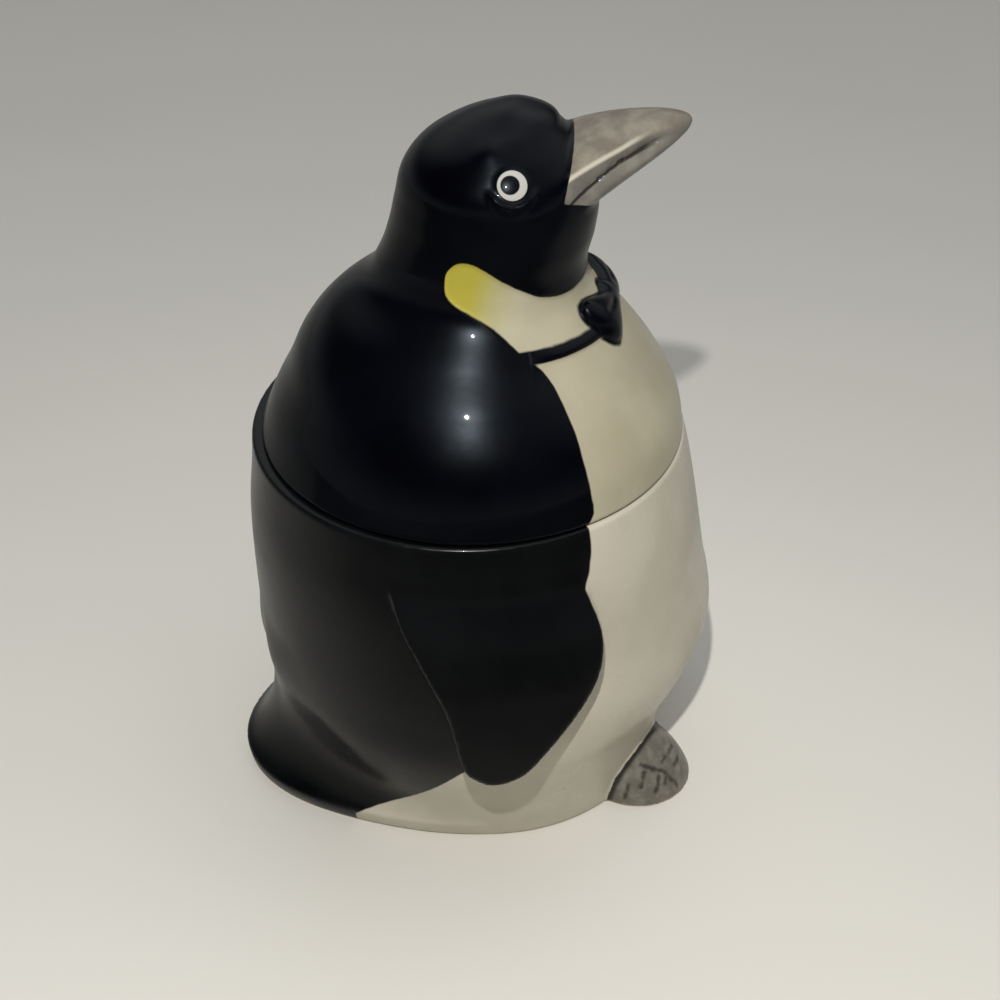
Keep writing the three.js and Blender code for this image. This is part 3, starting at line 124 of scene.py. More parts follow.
# Beak, eyes, bow tie and neck band: sizes, and shares of a length where a form starts and is full
BEAK_LENGTH = 33.3
BEAK_WIDTH = 34.0
BEAK_HEIGHT = 24.0
BEAK_RISE = 23.3
BEAK_TIP = 5.0
BEAK_TIP_POWER = 6
BEAK_TIP_ROUND = 1.5
BEAK_TAPER = 0.85
BEAK_SQUARENESS = 2.5
BEAK_ROOT = (-23.0, 181.6)
BEAK_BURIED = 0.25
BEAK_SADDLE = 3.0
BEAK_SADDLE_POWER = 4
BEAK_HOLLOW = 1.1
BEAK_BLEND = 1.4
BEAK_UNDERCUT = 2.2
BEAK_UNDERCUT_START = (-0.04, 0.16)
BEAK_UNDERCUT_END = (0.6, 0.9)
BEAK_LOWER_SHARE = 0.7
BEAK_LOWER_RUN = 0.55
MOUTH_DEPTH = 0.4
MOUTH_WIDTH = 0.45
BEAK_BORDER = (-23.25, 181.1)
BEAK_FACE_SLOPE = 0.217
BEAK_CHIN_SLOPE = 0.45
EYE_CENTRE = (-20.3, -11.2, 186.7)
PUPIL_CENTRE = (-20.3, -10.7, 186.7)
EYE_RADIUS = 4.5
EYE_BULGE = 0.7
BOW_SPAN = 36.0
BOW_HEIGHT = 14.5
BOW_THICKNESS = 6.6
BOW_LIFT = -0.2
BOW_Z = 147.6
BOW_WRAP_RADIUS = 40.0
BOW_TILT = 0.03
BOW_BLEND = 0.8
WING_ROOT_HEIGHT = 0.45
WING_SPREAD = (0.05, 0.85)
WING_BODY = (0.72, 0.5, 0.3)
WING_POWERS = (1.7, 2, 0.55)
WING_END_ROUND = 5.0
FOLD_LEVEL = 0.12
FOLD_WIDTH = 0.8
FOLD_DEPTH = 0.7
FOLD_START = (0.15, 0.4)
FOLD_END = (0.5, 0.85)
FOLD_FACE = 1.5
KNOT_SIZE = (8.4, 9.4, 6.0)
KNOT_SHIFT = (0.8, -0.9)
KNOT_BLEND = 0.9
BAND_Z = 146.5
BAND_WIDTH = 3.0
BAND_RELIEF = 1.0
BAND_HALF_ANGLE = 64.0
BAND_FADE = 0.8
BAND_FADE_ANGLE = 12.0
BAND_BLEND = 0.6

# Soft forms of the face as (place, height, spread), and the ridge of the lower eyelid
FACE_BUMPS = (
    ((-15.2, -5.4, 193.2), 0.6, 3.4),
    ((-21.8, -15.2, 179.6), 0.9, 3.6),
)
EYELID_RADIUS = 5.3
EYELID_HEIGHT = 0.9
EYELID_SPREAD = 0.75
EYELID_START = (0.2, 2.6)

# The pale patch lies a little lower than the black round it
PATCH_DEPTH = 0.5
PATCH_EDGE = (-0.4, 0.8)
PATCH_START = (149, 154)

# Mouth line and the upper beak's lower edge: share of the length, and level from the middle to the top
MOUTH_LINE = np.array([
    (-0.3, -0.4), (0.07, -0.18), (0.17, -0.17), (0.29, -0.04),
    (0.42, 0.09), (0.61, 0.12), (0.73, 0.13), (1, 0),
])
BEAK_EDGE = np.array([
    (-0.3, 0.4), (0.05, 0.44), (0.28, 0.49), (0.43, 0.52),
    (0.53, 0.58), (0.65, 0.62), (0.8, 0.55), (1, 0.4),
])

# How fast a section's area falls above the last height of an outline
APEX_SLOPE = 25.0

# Steps of an outline's tables, and how far they run past its ends
OUTLINE_STEP = 0.05
OUTLINE_MARGIN = 10

# Length of one degree round the body and round the neck
DEGREE = 0.9
NECK_DEGREE = 0.72

# Paint borders as (angle from the front in degrees, height), on one side; the other side mirrors them
LID_WHITE = np.array([
    (-20, 100), (56, 100), (56, 113.7), (56.7, 118.5), (56.8, 125.4), (56.5, 132.6), (57.6, 139.9),
    (60.5, 144.6), (67.7, 148.4), (72.2, 150.6), (80, 153.6), (90.7, 156.3), (101, 158.4), (107.4, 160.3),
    (110.4, 162.5), (111.7, 166), (107, 168.6), (98.7, 168.6), (89.6, 166.7), (80, 164.3), (68.9, 161.7),
    (57.3, 159.1), (46.9, 157.8), (37.5, 157.2), (28.7, 157.1), (10, 157.6), (0, 157.8), (-20, 157.8),
])
JAR_BLACK = np.array([
    (57, 120), (57, 112), (57.2, 107.5), (58.1, 102.3), (60.6, 95.2), (72, 80), (86, 50), (91, 39.5),
    (93.6, 36), (97.7, 30.4), (102.7, 24.6), (111.1, 16.4), (121, 9.4), (128, 4.4), (136, -5),
    (200, -5), (200, 120),
])
PAINT_DEPTH = 4.2
FLIPPER_PAINT_MARGIN = 0.45
FLANK_START = 25.0
BARE_HEIGHT = 0.7
RIBBON_HALF_WIDTH = 1.35
RIBBON_HALF_ANGLE = 70.0
BOW_PAINT_MARGIN = 0.45
YELLOW_ANGLES = (66, 98)
YELLOW_HEIGHTS = (150, 156)

JAR_GRID = ((-73, -73, -2), (73, 73, 113), 0.85)
LID_GRID = ((-61, -61, 102), (61, 60, 202), 0.65)
COARSE_STRIDE = 4
NEAR_STRIDES = 2.2
POINTS_AT_ONCE = 200000

# How far each round of smoothing moves the points towards their neighbours
SMOOTHING = (0.5, 0.5, 0, 0)

# Camera, found by fitting the outline to the photograph
CAMERA_PLACE = (-338.2, -16.0, 333.4)
CAMERA_AZIMUTH = 88.642
CAMERA_PITCH = 36.588
CAMERA_LENS = 54.0
CAMERA_SENSOR = 36.0
CAMERA_NEAR = 10.0


# Smooth curve through values at knots, with ends that don't curve
def through(knots, values, at):
    at = np.clip(at, knots[0], knots[-1])
    i = np.clip(np.searchsorted(knots, at, side="right") - 1, 0, len(knots) - 2)
    first, last = i == 0, i == len(knots) - 2
    before = np.where(first, i + 1, i - 1)
    after = np.where(last, i, np.minimum(i + 2, len(knots) - 1))
    start, span = knots[i], knots[i + 1] - knots[i]
    back = span / 2 / (start - knots[before])
    ahead = span / 2 / (knots[after] - knots[i + 1])
    t = (at - start) / span
    t2, t3 = t * t, t * t * t
    return (
        values[before] * (-back * t3 + 2 * back * t2 - back * t)
        + values[i] * ((1 + back) * t3 + (-1.5 - 2 * back) * t2 + (-0.5 + back) * t + 1)
        + values[i + 1] * ((-1 - ahead) * t3 + (1.5 + ahead) * t2 + 0.5 * t)
        + values[after] * ahead * (t3 - t2)
    )


# Union and intersection of distance fields with a rounded blend
def joined(a, b, blend):
    h = np.clip(0.5 + 0.5 * (b - a) / blend, 0, 1)
    return b + (a - b) * h - blend * h * (1 - h)


def common(a, b, blend):
    return -joined(-a, -b, blend)


def step_up(value, low, high):
    t = np.clip((value - low) / (high - low), 0, 1)
    return t * t * (3 - 2 * t)


# A casting's oval outline as smooth curves over the height, kept as fine tables
class Outline:
    def __init__(self, table, base, height):
        share, front, back, side = table.T
        depth = (front + back) / 2
        knots = base + share * height
        self.z = np.arange(knots[0] - OUTLINE_MARGIN, knots[-1] + OUTLINE_MARGIN, OUTLINE_STEP)
        columns = [through(knots, v, self.z) for v in (depth * side, depth / side, (back - front) / 2)]
        above = np.maximum(self.z - knots[-1], 0)
        columns[0] -= APEX_SLOPE * above
        self.columns = columns
        self.slopes = [np.gradient(c, OUTLINE_STEP) for c in columns]

    def at(self, z):
        return tuple(np.interp(z, self.z, c) for c in self.columns)

    def front(self, z):
        area, ratio, centre = self.at(z)
        return float(centre - np.sqrt(area * ratio))

    # Distance from the outline's surface, below zero inside it
    def distance(self, x, y, z):
        area, ratio, centre = self.at(z)
        area_z, ratio_z, centre_z = (np.interp(z, self.z, s) for s in self.slopes)
        v = y - centre
        value = x * x * ratio + v * v / ratio - area
        slope_z = x * x * ratio_z - v * v * ratio_z / ratio**2 - 2 * v * centre_z / ratio - area_z
        slope = np.sqrt(4 * x * x * ratio**2 + 4 * v * v / ratio**2 + slope_z**2)
        return np.clip(value / np.maximum(slope, 1e-3), -20, 40)

    # Angle round the outline from the front, the same on both sides
    def angle(self, x, y, z):
        _, ratio, centre = self.at(z)
        return np.degrees(np.arctan2(np.abs(x) * ratio, centre - y))


jar_outline = Outline(JAR_OUTLINE, 0, JAR_HEIGHT)
lid_outline = Outline(LID_OUTLINE, LID_BASE, LID_HEIGHT)


# Distance from a closed outline in a plane, below zero inside it
def polygon_distance(points, u, v):
    nearest = np.full(u.shape, 1e9)
    inside = np.zeros(u.shape, bool)
    for (au, av), (bu, bv) in zip(points, np.roll(points, -1, axis=0)):
        du, dv = bu - au, bv - av
        t = np.clip(((u - au) * du + (v - av) * dv) / (du * du + dv * dv), 0, 1)
        nearest = np.minimum(nearest, (u - au - t * du) ** 2 + (v - av - t * dv) ** 2)
        crosses = (av > v) != (bv > v)
        if dv:
            inside ^= crosses & (u < au + (v - av) * du / dv)
    return np.where(inside, -1, 1) * np.sqrt(nearest)


# More points along an outline, on a smooth curve through the given ones
def curved(points, steps):
    knots = np.arange(len(points), dtype=float)
    at = np.linspace(0, len(points) - 1, (len(points) - 1) * steps + 1)
    return np.stack([through(knots, points[:, k].astype(float), at) for k in (0, 1)], axis=1)


# Distance from a closed outline in a plane, kept as a fine table
class PlaneOutline:
    def __init__(self, points, step=0.25, margin=25):
        self.low = points.min(axis=0) - margin
        self.step = step
        self.last = np.ceil((points.max(axis=0) + margin - self.low) / step).astype(int) - 1
        u, v = (self.low[k] + step * np.arange(self.last[k] + 2) for k in (0, 1))
        self.table = polygon_distance(points, *np.meshgrid(u, v, indexing="ij"))

    def distance(self, u, v):
        at = [np.clip((w - self.low[k]) / self.step, 0, self.last[k]) for k, w in enumerate((u, v))]
        i, j = (a.astype(int) for a in at)
        s, t = at[0] - i, at[1] - j
        near = self.table[i, j] * (1 - s) + self.table[i + 1, j] * s
        far = self.table[i, j + 1] * (1 - s) + self.table[i + 1, j + 1] * s
        return near * (1 - t) + far * t


leaf_outline = PlaneOutline(curved(FLIPPER_OUTLINE, 4))
lid_white = PlaneOutline(curved(LID_WHITE, 3) * (DEGREE, 1))
jar_black = PlaneOutline(curved(JAR_BLACK, 3) * (DEGREE, 1))


# Flipper: a leaf that stands proud of the flank, flares towards its tip and narrows towards its root
def flipper(skin, y, z):
    top, tip = FLIPPER_OUTLINE[:, 1].max(), FLIPPER_OUTLINE[:, 1].min()
    share = np.clip((top - z) / (top - tip), 0, 1)
    rise = step_up(top - z, 0, FLIPPER_DRAFT)
    sunk = 1 - step_up(top - z, 0, FLIPPER_SINK_RUN)
    relief = FLIPPER_RELIEF * rise + FLIPPER_TIP_FLARE * share**2 - FLIPPER_SINK * sunk
    under = np.clip(relief - skin, 0, FLIPPER_UNDERCUT_DEPTH)
    leaf = leaf_outline.distance(y, z) + FLIPPER_UNDERCUT * under
    return common(skin - relief, leaf, FLIPPER_EDGE), leaf


# Tail: a broad skirt that flares at the back and turns under to the table
def tail(x, y, z):
    turn = math.radians(TAIL_TURN)
    x, y = x * math.cos(turn) + y * math.sin(turn), y * math.cos(turn) - x * math.sin(turn)
    under = np.clip(1 - z / TAIL_LIP_HEIGHT, 0, 2)
    rise = np.clip((z - TAIL_LIP_HEIGHT) / (TAIL_HEIGHT - TAIL_LIP_HEIGHT), 0, 1.3)
    tucked = TAIL_LIP_ROUND * under**2 + TAIL_RUN_IN * rise**TAIL_HOLLOW
    reach, half = TAIL_REACH - tucked, TAIL_WIDTH / 2 - tucked
    depth = np.where(y > TAIL_ROOT, reach - TAIL_ROOT, TAIL_ROOT - WALL)
    a, b = np.abs(x) / half, np.abs(y - TAIL_ROOT) / depth
    n = TAIL_SQUARENESS
    q = np.maximum((a**n + b**n) ** (1 / n), 1e-3)
    slope = np.hypot((a / q) ** (n - 1) / half, (b / q) ** (n - 1) / depth)
    return common((q - 1) / slope, z - TAIL_HEIGHT - TAIL_TOP_MARGIN, TAIL_TOP_ROUND)


# Foot: a low wedge that leans back under the belly and turns its toes out
def foot(x, y, z):
    turn = math.radians(FOOT_TOE_OUT)
    dx, dy = -np.abs(x) - FOOT_PLACE[0], y - FOOT_PLACE[1]
    across = dx * math.cos(turn) - dy * math.sin(turn)
    along = dx * math.sin(turn) + dy * math.cos(turn)
    width, length, height = FOOT_SIZE
    along = along - FOOT_LEAN * z / height
    radii = (width / 2, length / 2, height)
    scaled = [v / r for v, r in zip((across, along, z), radii)]
    size = np.sqrt(sum(s * s for s in scaled))
    slope = np.sqrt(sum((s / r) ** 2 for s, r in zip(scaled, radii)))
    return (size - 1) * size / np.maximum(slope, 1e-4)


def jar_parts(p):
    x, y, z = p.T
    skin = jar_outline.distance(x, y, z)
    raised, leaf = flipper(skin, y, z)
    return {
        "skin": skin, "flipper": raised, "leaf": leaf, "tail": tail(x, y, z), "foot": foot(x, y, z),
    }


def jar_field(p):
    x, y, z = p.T
    part = jar_parts(p)
    outside = common(part["skin"], z - JAR_HEIGHT, EDGE_ROUND)
    outside = joined(outside, part["flipper"], FLIPPER_BLEND)
    outside = joined(outside, part["tail"], TAIL_BLEND)
    outside = joined(outside, part["foot"], FOOT_BLEND)
    outside = common(outside, -z, EDGE_ROUND)
    within = part["skin"] + WALL
    compartment = common(within, FLOOR_TOP - z, FLOOR_CORNER)
    chamber = common(np.maximum(within, z - CHAMBER_TOP), LEDGE_TOP - z, CHAMBER_CORNER)
    radius = np.hypot(x, y)
    throat = np.maximum(radius - THROAT_RADIUS, z - LEDGE_TOP - THROAT_LAP)
    recess = np.maximum(radius - RECESS_RADIUS, z - PLATE_TOP - PLATE_SEAT)
    hollow = joined(joined(chamber, throat, THROAT_BLEND), recess, THROAT_BLEND)
    return common(common(outside, -compartment, EDGE_ROUND), -hollow, CHAMBER_EDGE)


# Beak: squarish oval sections that shrink towards a blunt, rounded tip
def beak(x, y, z):
    rise = math.radians(BEAK_RISE)
    share = (BEAK_ROOT[0] - y) / (BEAK_LENGTH * math.cos(rise))
    inner = np.clip(share, -0.4, 0.995)
    tip = BEAK_TIP / 2 * np.sqrt(np.maximum(1 - np.abs(inner) ** BEAK_TIP_POWER, 0.001))
    taper = (1 - inner) ** BEAK_TAPER
    half = tip + taper * (BEAK_WIDTH - BEAK_TIP) / 2
    high = tip + taper * (BEAK_HEIGHT - BEAK_TIP) / 2
    up = z - BEAK_ROOT[1] - BEAK_LENGTH * share * math.sin(rise)
    saddle = BEAK_SADDLE * (1 - np.clip(inner, 0, 1)) ** BEAK_SADDLE_POWER
    hollow = BEAK_HOLLOW * np.sin(math.pi * np.clip(inner, 0, 1))
    high = high - np.where(up > 0, saddle, hollow)
    a, b = np.abs(x) / half, np.abs(up) / high
    n = BEAK_SQUARENESS
    q = np.maximum((a**n + b**n) ** (1 / n), 1e-3)
    slope = np.hypot((a / q) ** (n - 1) / half, (b / q) ** (n - 1) / high)
    ends = np.maximum((share - 1) * BEAK_LENGTH, (-BEAK_BURIED - share) * BEAK_LENGTH)
    level = up / high
    mouth = np.interp(share, *MOUTH_LINE.T)
    edge = np.interp(share, *BEAK_EDGE.T)
    fade = step_up(share, *BEAK_UNDERCUT_START) * (1 - step_up(share, *BEAK_UNDERCUT_END))
    above = np.clip((edge - level) / (edge - mouth), 0, 1)
    below = BEAK_LOWER_SHARE * (1 - step_up(mouth - level, 0, BEAK_LOWER_RUN))
    under = BEAK_UNDERCUT * np.where(level > mouth, above, below)
    groove = MOUTH_DEPTH * np.exp(-(((level - mouth) * high / MOUTH_WIDTH) ** 2))
    body = (q - 1) / slope * 0.9 + (under + groove) * fade
    return common(body, ends, BEAK_TIP_ROUND), share, (level - mouth) * high, (level - edge) * high


# Distance and offset from a place on the head, the same on both sides
def from_place(place, x, y, z):
    offset = np.stack([-np.abs(x), y, z]) - np.array(place)[:, None]
    return np.sqrt((offset**2).sum(axis=0)), offset


# Height of the face's soft forms above the skin: the eye's low dome, its lower eyelid, brow and cheek
def face(x, y, z):
    eye, offset = from_place(EYE_CENTRE, x, y, z)
    height = EYE_BULGE * np.clip(1 - (eye / EYE_RADIUS) ** 2, 0, 1)
    below = step_up(-offset[2], *EYELID_START)
    eyelid = np.exp(-(((eye - EYELID_RADIUS) / EYELID_SPREAD) ** 2))
    height = height + EYELID_HEIGHT * below * eyelid
    for place, bump, spread in FACE_BUMPS:
        away, _ = from_place(place, x, y, z)
        height = height + bump * np.exp(-((away / spread) ** 2))
    return height


# Frame of the bow tie: it lies on the slope of the chest and wraps round it
BOW_Y = lid_outline.front(BOW_Z)
BOW_SLOPE = math.atan2(1, lid_outline.front(BOW_Z + 1) - BOW_Y)


def on_chest(x, y, z):
    dy = y - BOW_Y - x * x / (2 * BOW_WRAP_RADIUS)
    dz = z - BOW_Z + BOW_TILT * x
    up = dy * math.cos(BOW_SLOPE) + dz * math.sin(BOW_SLOPE)
    out = -dy * math.sin(BOW_SLOPE) + dz * math.cos(BOW_SLOPE)
    return np.abs(x), up, out


# Bow tie: two lens-shaped wings that widen from the knot, each with a fold, and the knot over their roots
def bow(x, y, z):
    across, up, out = on_chest(x, y, z)
    out = out - BOW_LIFT
    half = BOW_SPAN / 2
    share = np.clip(across / half, 0, 1)
    widening = (1 - WING_ROOT_HEIGHT) * step_up(share, *WING_SPREAD)
    tall = BOW_HEIGHT / 2 * (WING_ROOT_HEIGHT + widening)
    root, growth, fall = WING_BODY
    thick = BOW_THICKNESS / 2 * (root + growth * share - fall * share**3)
    flat, deep, whole = WING_POWERS
    lens = (np.abs(up / tall) ** flat + np.abs(out / thick) ** deep + 1e-6) ** whole
    fold = np.exp(-(((up - FOLD_LEVEL * tall) / FOLD_WIDTH) ** 2))
    fold = fold * step_up(share, *FOLD_START) * (1 - step_up(share, *FOLD_END))
    wing = (lens - 1) * thick + FOLD_DEPTH * fold * step_up(out, 0, FOLD_FACE)
    wing = common(wing, across - half, WING_END_ROUND)
    sizes = zip((across, up - KNOT_SHIFT[0], out - KNOT_SHIFT[1]), KNOT_SIZE)
    knot = (np.sqrt(sum((2 * v / s) ** 2 for v, s in sizes)) - 1) * KNOT_SIZE[2] / 2
    return joined(wing, knot, KNOT_BLEND)


def lid_parts(p):
    x, y, z = p.T
    skin = lid_outline.distance(x, y, z)
    angle = lid_outline.angle(x, y, z)
    beak_body, beak_share, mouth, ridge = beak(x, y, z)
    lift = z - BAND_Z + BOW_TILT * x
    ending = step_up(angle, BAND_HALF_ANGLE - BAND_FADE_ANGLE, BAND_HALF_ANGLE)
    relief = BAND_RELIEF * (1 - BAND_FADE * ending)
    band = np.sqrt((lift / BAND_WIDTH * 2) ** 2 + (skin / relief) ** 2)
    band = np.maximum((band - 1) * relief, (angle - BAND_HALF_ANGLE) * NECK_DEGREE)
    white = lid_white.distance(angle * DEGREE, z)
    return {
        "skin": skin, "angle": angle, "beak": beak_body, "beak_share": beak_share, "mouth": mouth,
        "ridge": ridge, "band": band, "lift": lift, "bow": bow(x, y, z), "white": white,
    }


def lid_field(p):
    x, y, z = p.T
    part = lid_parts(p)
    patch = step_up(-part["white"], *PATCH_EDGE) * step_up(z, *PATCH_START)
    outside = common(part["skin"] + PATCH_DEPTH * patch - face(x, y, z), LID_BASE - z, EDGE_ROUND)
    outside = joined(outside, part["beak"], BEAK_BLEND)
    outside = joined(outside, part["band"], BAND_BLEND)
    outside = joined(outside, part["bow"], BOW_BLEND)
    mouth_area, mouth_ratio, mouth_centre = jar_outline.at(JAR_HEIGHT)
    depth, side = math.sqrt(mouth_area * mouth_ratio), math.sqrt(mouth_area / mouth_ratio)
    mouth = (np.hypot(x / side, (y - mouth_centre) / depth) - 1) * min(side, depth)
    levels = np.maximum(LID_BASE - FLANGE_DEPTH - z, z - LID_BASE - FLANGE_LAP)
    flange = np.maximum(mouth + FLANGE_OUTER, levels)
    upward = step_up(z, LID_BASE + FLANGE_LAP, LID_BASE + SHOULDER_SOLID)
    hollow = (mouth + FLANGE_INNER) * (1 - upward) + (part["skin"] + WALL) * upward
    hollow = common(hollow, z - LID_BASE - LID_HEIGHT + HEAD_SOLID, HEAD_HOLLOW_CORNER)
    return common(joined(outside, flange, FLANGE_BLEND), -hollow, LID_HOLLOW_EDGE)


# Values of a field on a grid: coarse everywhere, and exact close to the surface
def grid_values(field, low, counts, step):
    axes = [low[k] + step * np.arange(counts[k]) for k in range(3)]
    stride = COARSE_STRIDE
    coarse_axes = [np.append(a[::stride], a[-1]) for a in axes]
    coarse = np.stack(np.meshgrid(*coarse_axes, indexing="ij"), axis=-1)
    values = field(coarse.reshape(-1, 3)).reshape(coarse.shape[:3])
    index = []
    for count, coarse_axis in zip(counts, coarse_axes):
        nearest = (np.arange(count) + stride // 2) // stride
        index.append(np.minimum(nearest, len(coarse_axis) - 1))
    full = values[np.ix_(*index)]
    near = np.abs(full) < NEAR_STRIDES * stride * step
    points = np.array(low) + step * np.argwhere(near)
    batches = np.array_split(points, max(1, len(points) // POINTS_AT_ONCE))
    full[near] = np.concatenate([field(batch) for batch in batches])
    return full


# Mesh of a field's zero surface: one point in each grid cell that it crosses, moved onto the surface
def surface(field, low, high, step):
    counts = [int(math.ceil((high[k] - low[k]) / step)) + 1 for k in range(3)]
    values = grid_values(field, low, counts, step)
    inside = values < 0
    corners = [(i, j, k) for i in (0, 1) for j in (0, 1) for k in (0, 1)]
    nx, ny, nz = (count - 1 for count in counts)
    total = np.zeros((nx, ny, nz), np.int8)
    for i, j, k in corners:
        total += inside[i:nx + i, j:ny + j, k:nz + k]
    cells = np.argwhere((total > 0) & (total < 8))
    ids = np.full(total.shape, -1, np.int64)
    ids[tuple(cells.T)] = np.arange(len(cells))
    corner_values = {c: values[tuple((cells + c).T)] for c in corners}
    sums, hits = np.zeros((len(cells), 3)), np.zeros(len(cells))
    for a in corners:
        for axis in range(3):
            if a[axis]:
                continue
            b = tuple(1 if k == axis else a[k] for k in range(3))
            va, vb = corner_values[a], corner_values[b]
            cut = (va < 0) != (vb < 0)
            t = np.where(cut, va / np.where(cut, va - vb, 1), 0)
            place = np.array(a)[None] + t[:, None] * (np.array(b) - np.array(a))[None]
            sums += np.where(cut[:, None], place, 0)
            hits += cut
    points = np.array(low) + step * (cells + sums / hits[:, None])

    quads = []
    for axis in range(3):
        u, v = (axis + 1) % 3, (axis + 2) % 3
        first = np.moveaxis(inside, axis, 0)
        flips = np.moveaxis(first[:-1] != first[1:], 0, axis)
        at = np.argwhere(flips)
        past_start = (at[:, u] > 0) & (at[:, v] > 0)
        before_end = (at[:, u] < counts[u] - 1) & (at[:, v] < counts[v] - 1)
        at = at[past_start & before_end]
        outward = inside[tuple(at.T)]
        around = []
        for du, dv in ((-1, -1), (0, -1), (0, 0), (-1, 0)):
            cell = at.copy()
            cell[:, u] += du
            cell[:, v] += dv
            around.append(ids[tuple(cell.T)])
        quad = np.stack(around, axis=1)
        quads.append(np.where(outward[:, None], quad, quad[:, ::-1]))
    quads = np.concatenate(quads)

    for smooth in SMOOTHING:
        if smooth:
            points += smooth * (neighbour_mean(points, quads) - points)
        points = onto(field, points, step)
    return points, quads


def neighbour_mean(points, quads):
    sums, hits = np.zeros_like(points), np.zeros(len(points))
    for k in range(4):
        a, b = quads[:, k], quads[:, (k + 1) % 4]
        for end, other in ((a, b), (b, a)):
            for axis in range(3):
                sums[:, axis] += np.bincount(end, points[other, axis], len(points))
            hits += np.bincount(end, minlength=len(points))
    return sums / hits[:, None]


# One step of each point along the field's slope to where the field is zero
def onto(field, points, step, probe=0.05):
    value = field(points)
    slope = np.stack([
        (field(points + probe * e) - field(points - probe * e)) / (2 * probe) for e in np.eye(3)
    ], axis=1)
    move = slope * (value / np.maximum((slope**2).sum(axis=1), 0.1))[:, None]
    length = np.linalg.norm(move, axis=1)
    return points - move * np.minimum(1, 0.5 * step / np.maximum(length, 1e-9))[:, None]


# Blender mesh with a smooth surface and one number for each point and paint zone
def casting(name, points, quads, zones):
    mesh = bpy.data.meshes.new(name)
    mesh.vertices.add(len(points))
    mesh.vertices.foreach_set("co", (points * MM).astype(np.float32).ravel())
    mesh.loops.add(quads.size)
    mesh.loops.foreach_set("vertex_index", quads.astype(np.int32).ravel())
    mesh.polygons.add(len(quads))
    mesh.polygons.foreach_set("loop_start", np.arange(0, quads.size, 4, dtype=np.int32))
    mesh.update(calc_edges=True)
    mesh.polygons.foreach_set("use_smooth", np.ones(len(quads), bool))
    for zone, values in zones.items():
        layer = mesh.attributes.new(zone, "FLOAT", "POINT")
        layer.data.foreach_set("value", values.astype(np.float32))
    mesh.validate()
    obj = bpy.data.objects.new(name, mesh)
    bpy.context.scene.collection.objects.link(obj)
    return obj


# Paint zones: one number for each point, below zero inside most zones
def jar_zones(p):
    x, y, z = p.T
    part = jar_parts(p)
    angle = jar_outline.angle(x, y, z)
    back = jar_black.distance(angle * DEGREE, z)
    leaf = np.maximum(part["leaf"] + FLIPPER_PAINT_MARGIN, FLANK_START - np.abs(x))
    within = part["skin"] + PAINT_DEPTH
    black = np.maximum(np.minimum(back, leaf), -within)
    toes = part["foot"] - np.minimum(part["skin"], part["flipper"])
    # The last zone is the distance from the belly's skin, for the painted shade where the foot meets it
    return {"black": black, "toes": toes, "bare": z - BARE_HEIGHT, "joint": part["skin"]}


def lid_zones(p):
    x, y, z = p.T
    part = lid_parts(p)
    within = part["skin"] + PAINT_DEPTH
    dark = np.maximum(-part["white"], -within)
    ribbon_end = (part["angle"] - RIBBON_HALF_ANGLE) * NECK_DEGREE
    ribbon = np.maximum(np.abs(part["lift"]) - RIBBON_HALF_WIDTH, ribbon_end)
    ribbon = np.minimum(np.maximum(ribbon, -within), part["bow"] - BOW_PAINT_MARGIN)
    from_border, above = y - BEAK_BORDER[0], z - BEAK_BORDER[1]
    front = from_border + BEAK_FACE_SLOPE * above
    chin = (BEAK_CHIN_SLOPE * from_border - above) / math.hypot(1, BEAK_CHIN_SLOPE)
    yellow = step_up(part["angle"], *YELLOW_ANGLES) * step_up(z, *YELLOW_HEIGHTS)
    return {
        "dark": np.minimum(dark, ribbon), "beak": np.maximum(front, chin), "yellow": yellow,
        "eye": from_place(EYE_CENTRE, x, y, z)[0], "pupil": from_place(PUPIL_CENTRE, x, y, z)[0],
        "mouth": part["mouth"], "ridge": part["ridge"], "beak_share": part["beak_share"],
    }


def srgb(red, green, blue):
    def linear(v):
        v /= 255
        return v / 12.92 if v <= 0.04045 else ((v + 0.055) / 1.055) ** 2.4
    return (linear(red), linear(green), linear(blue), 1.0)


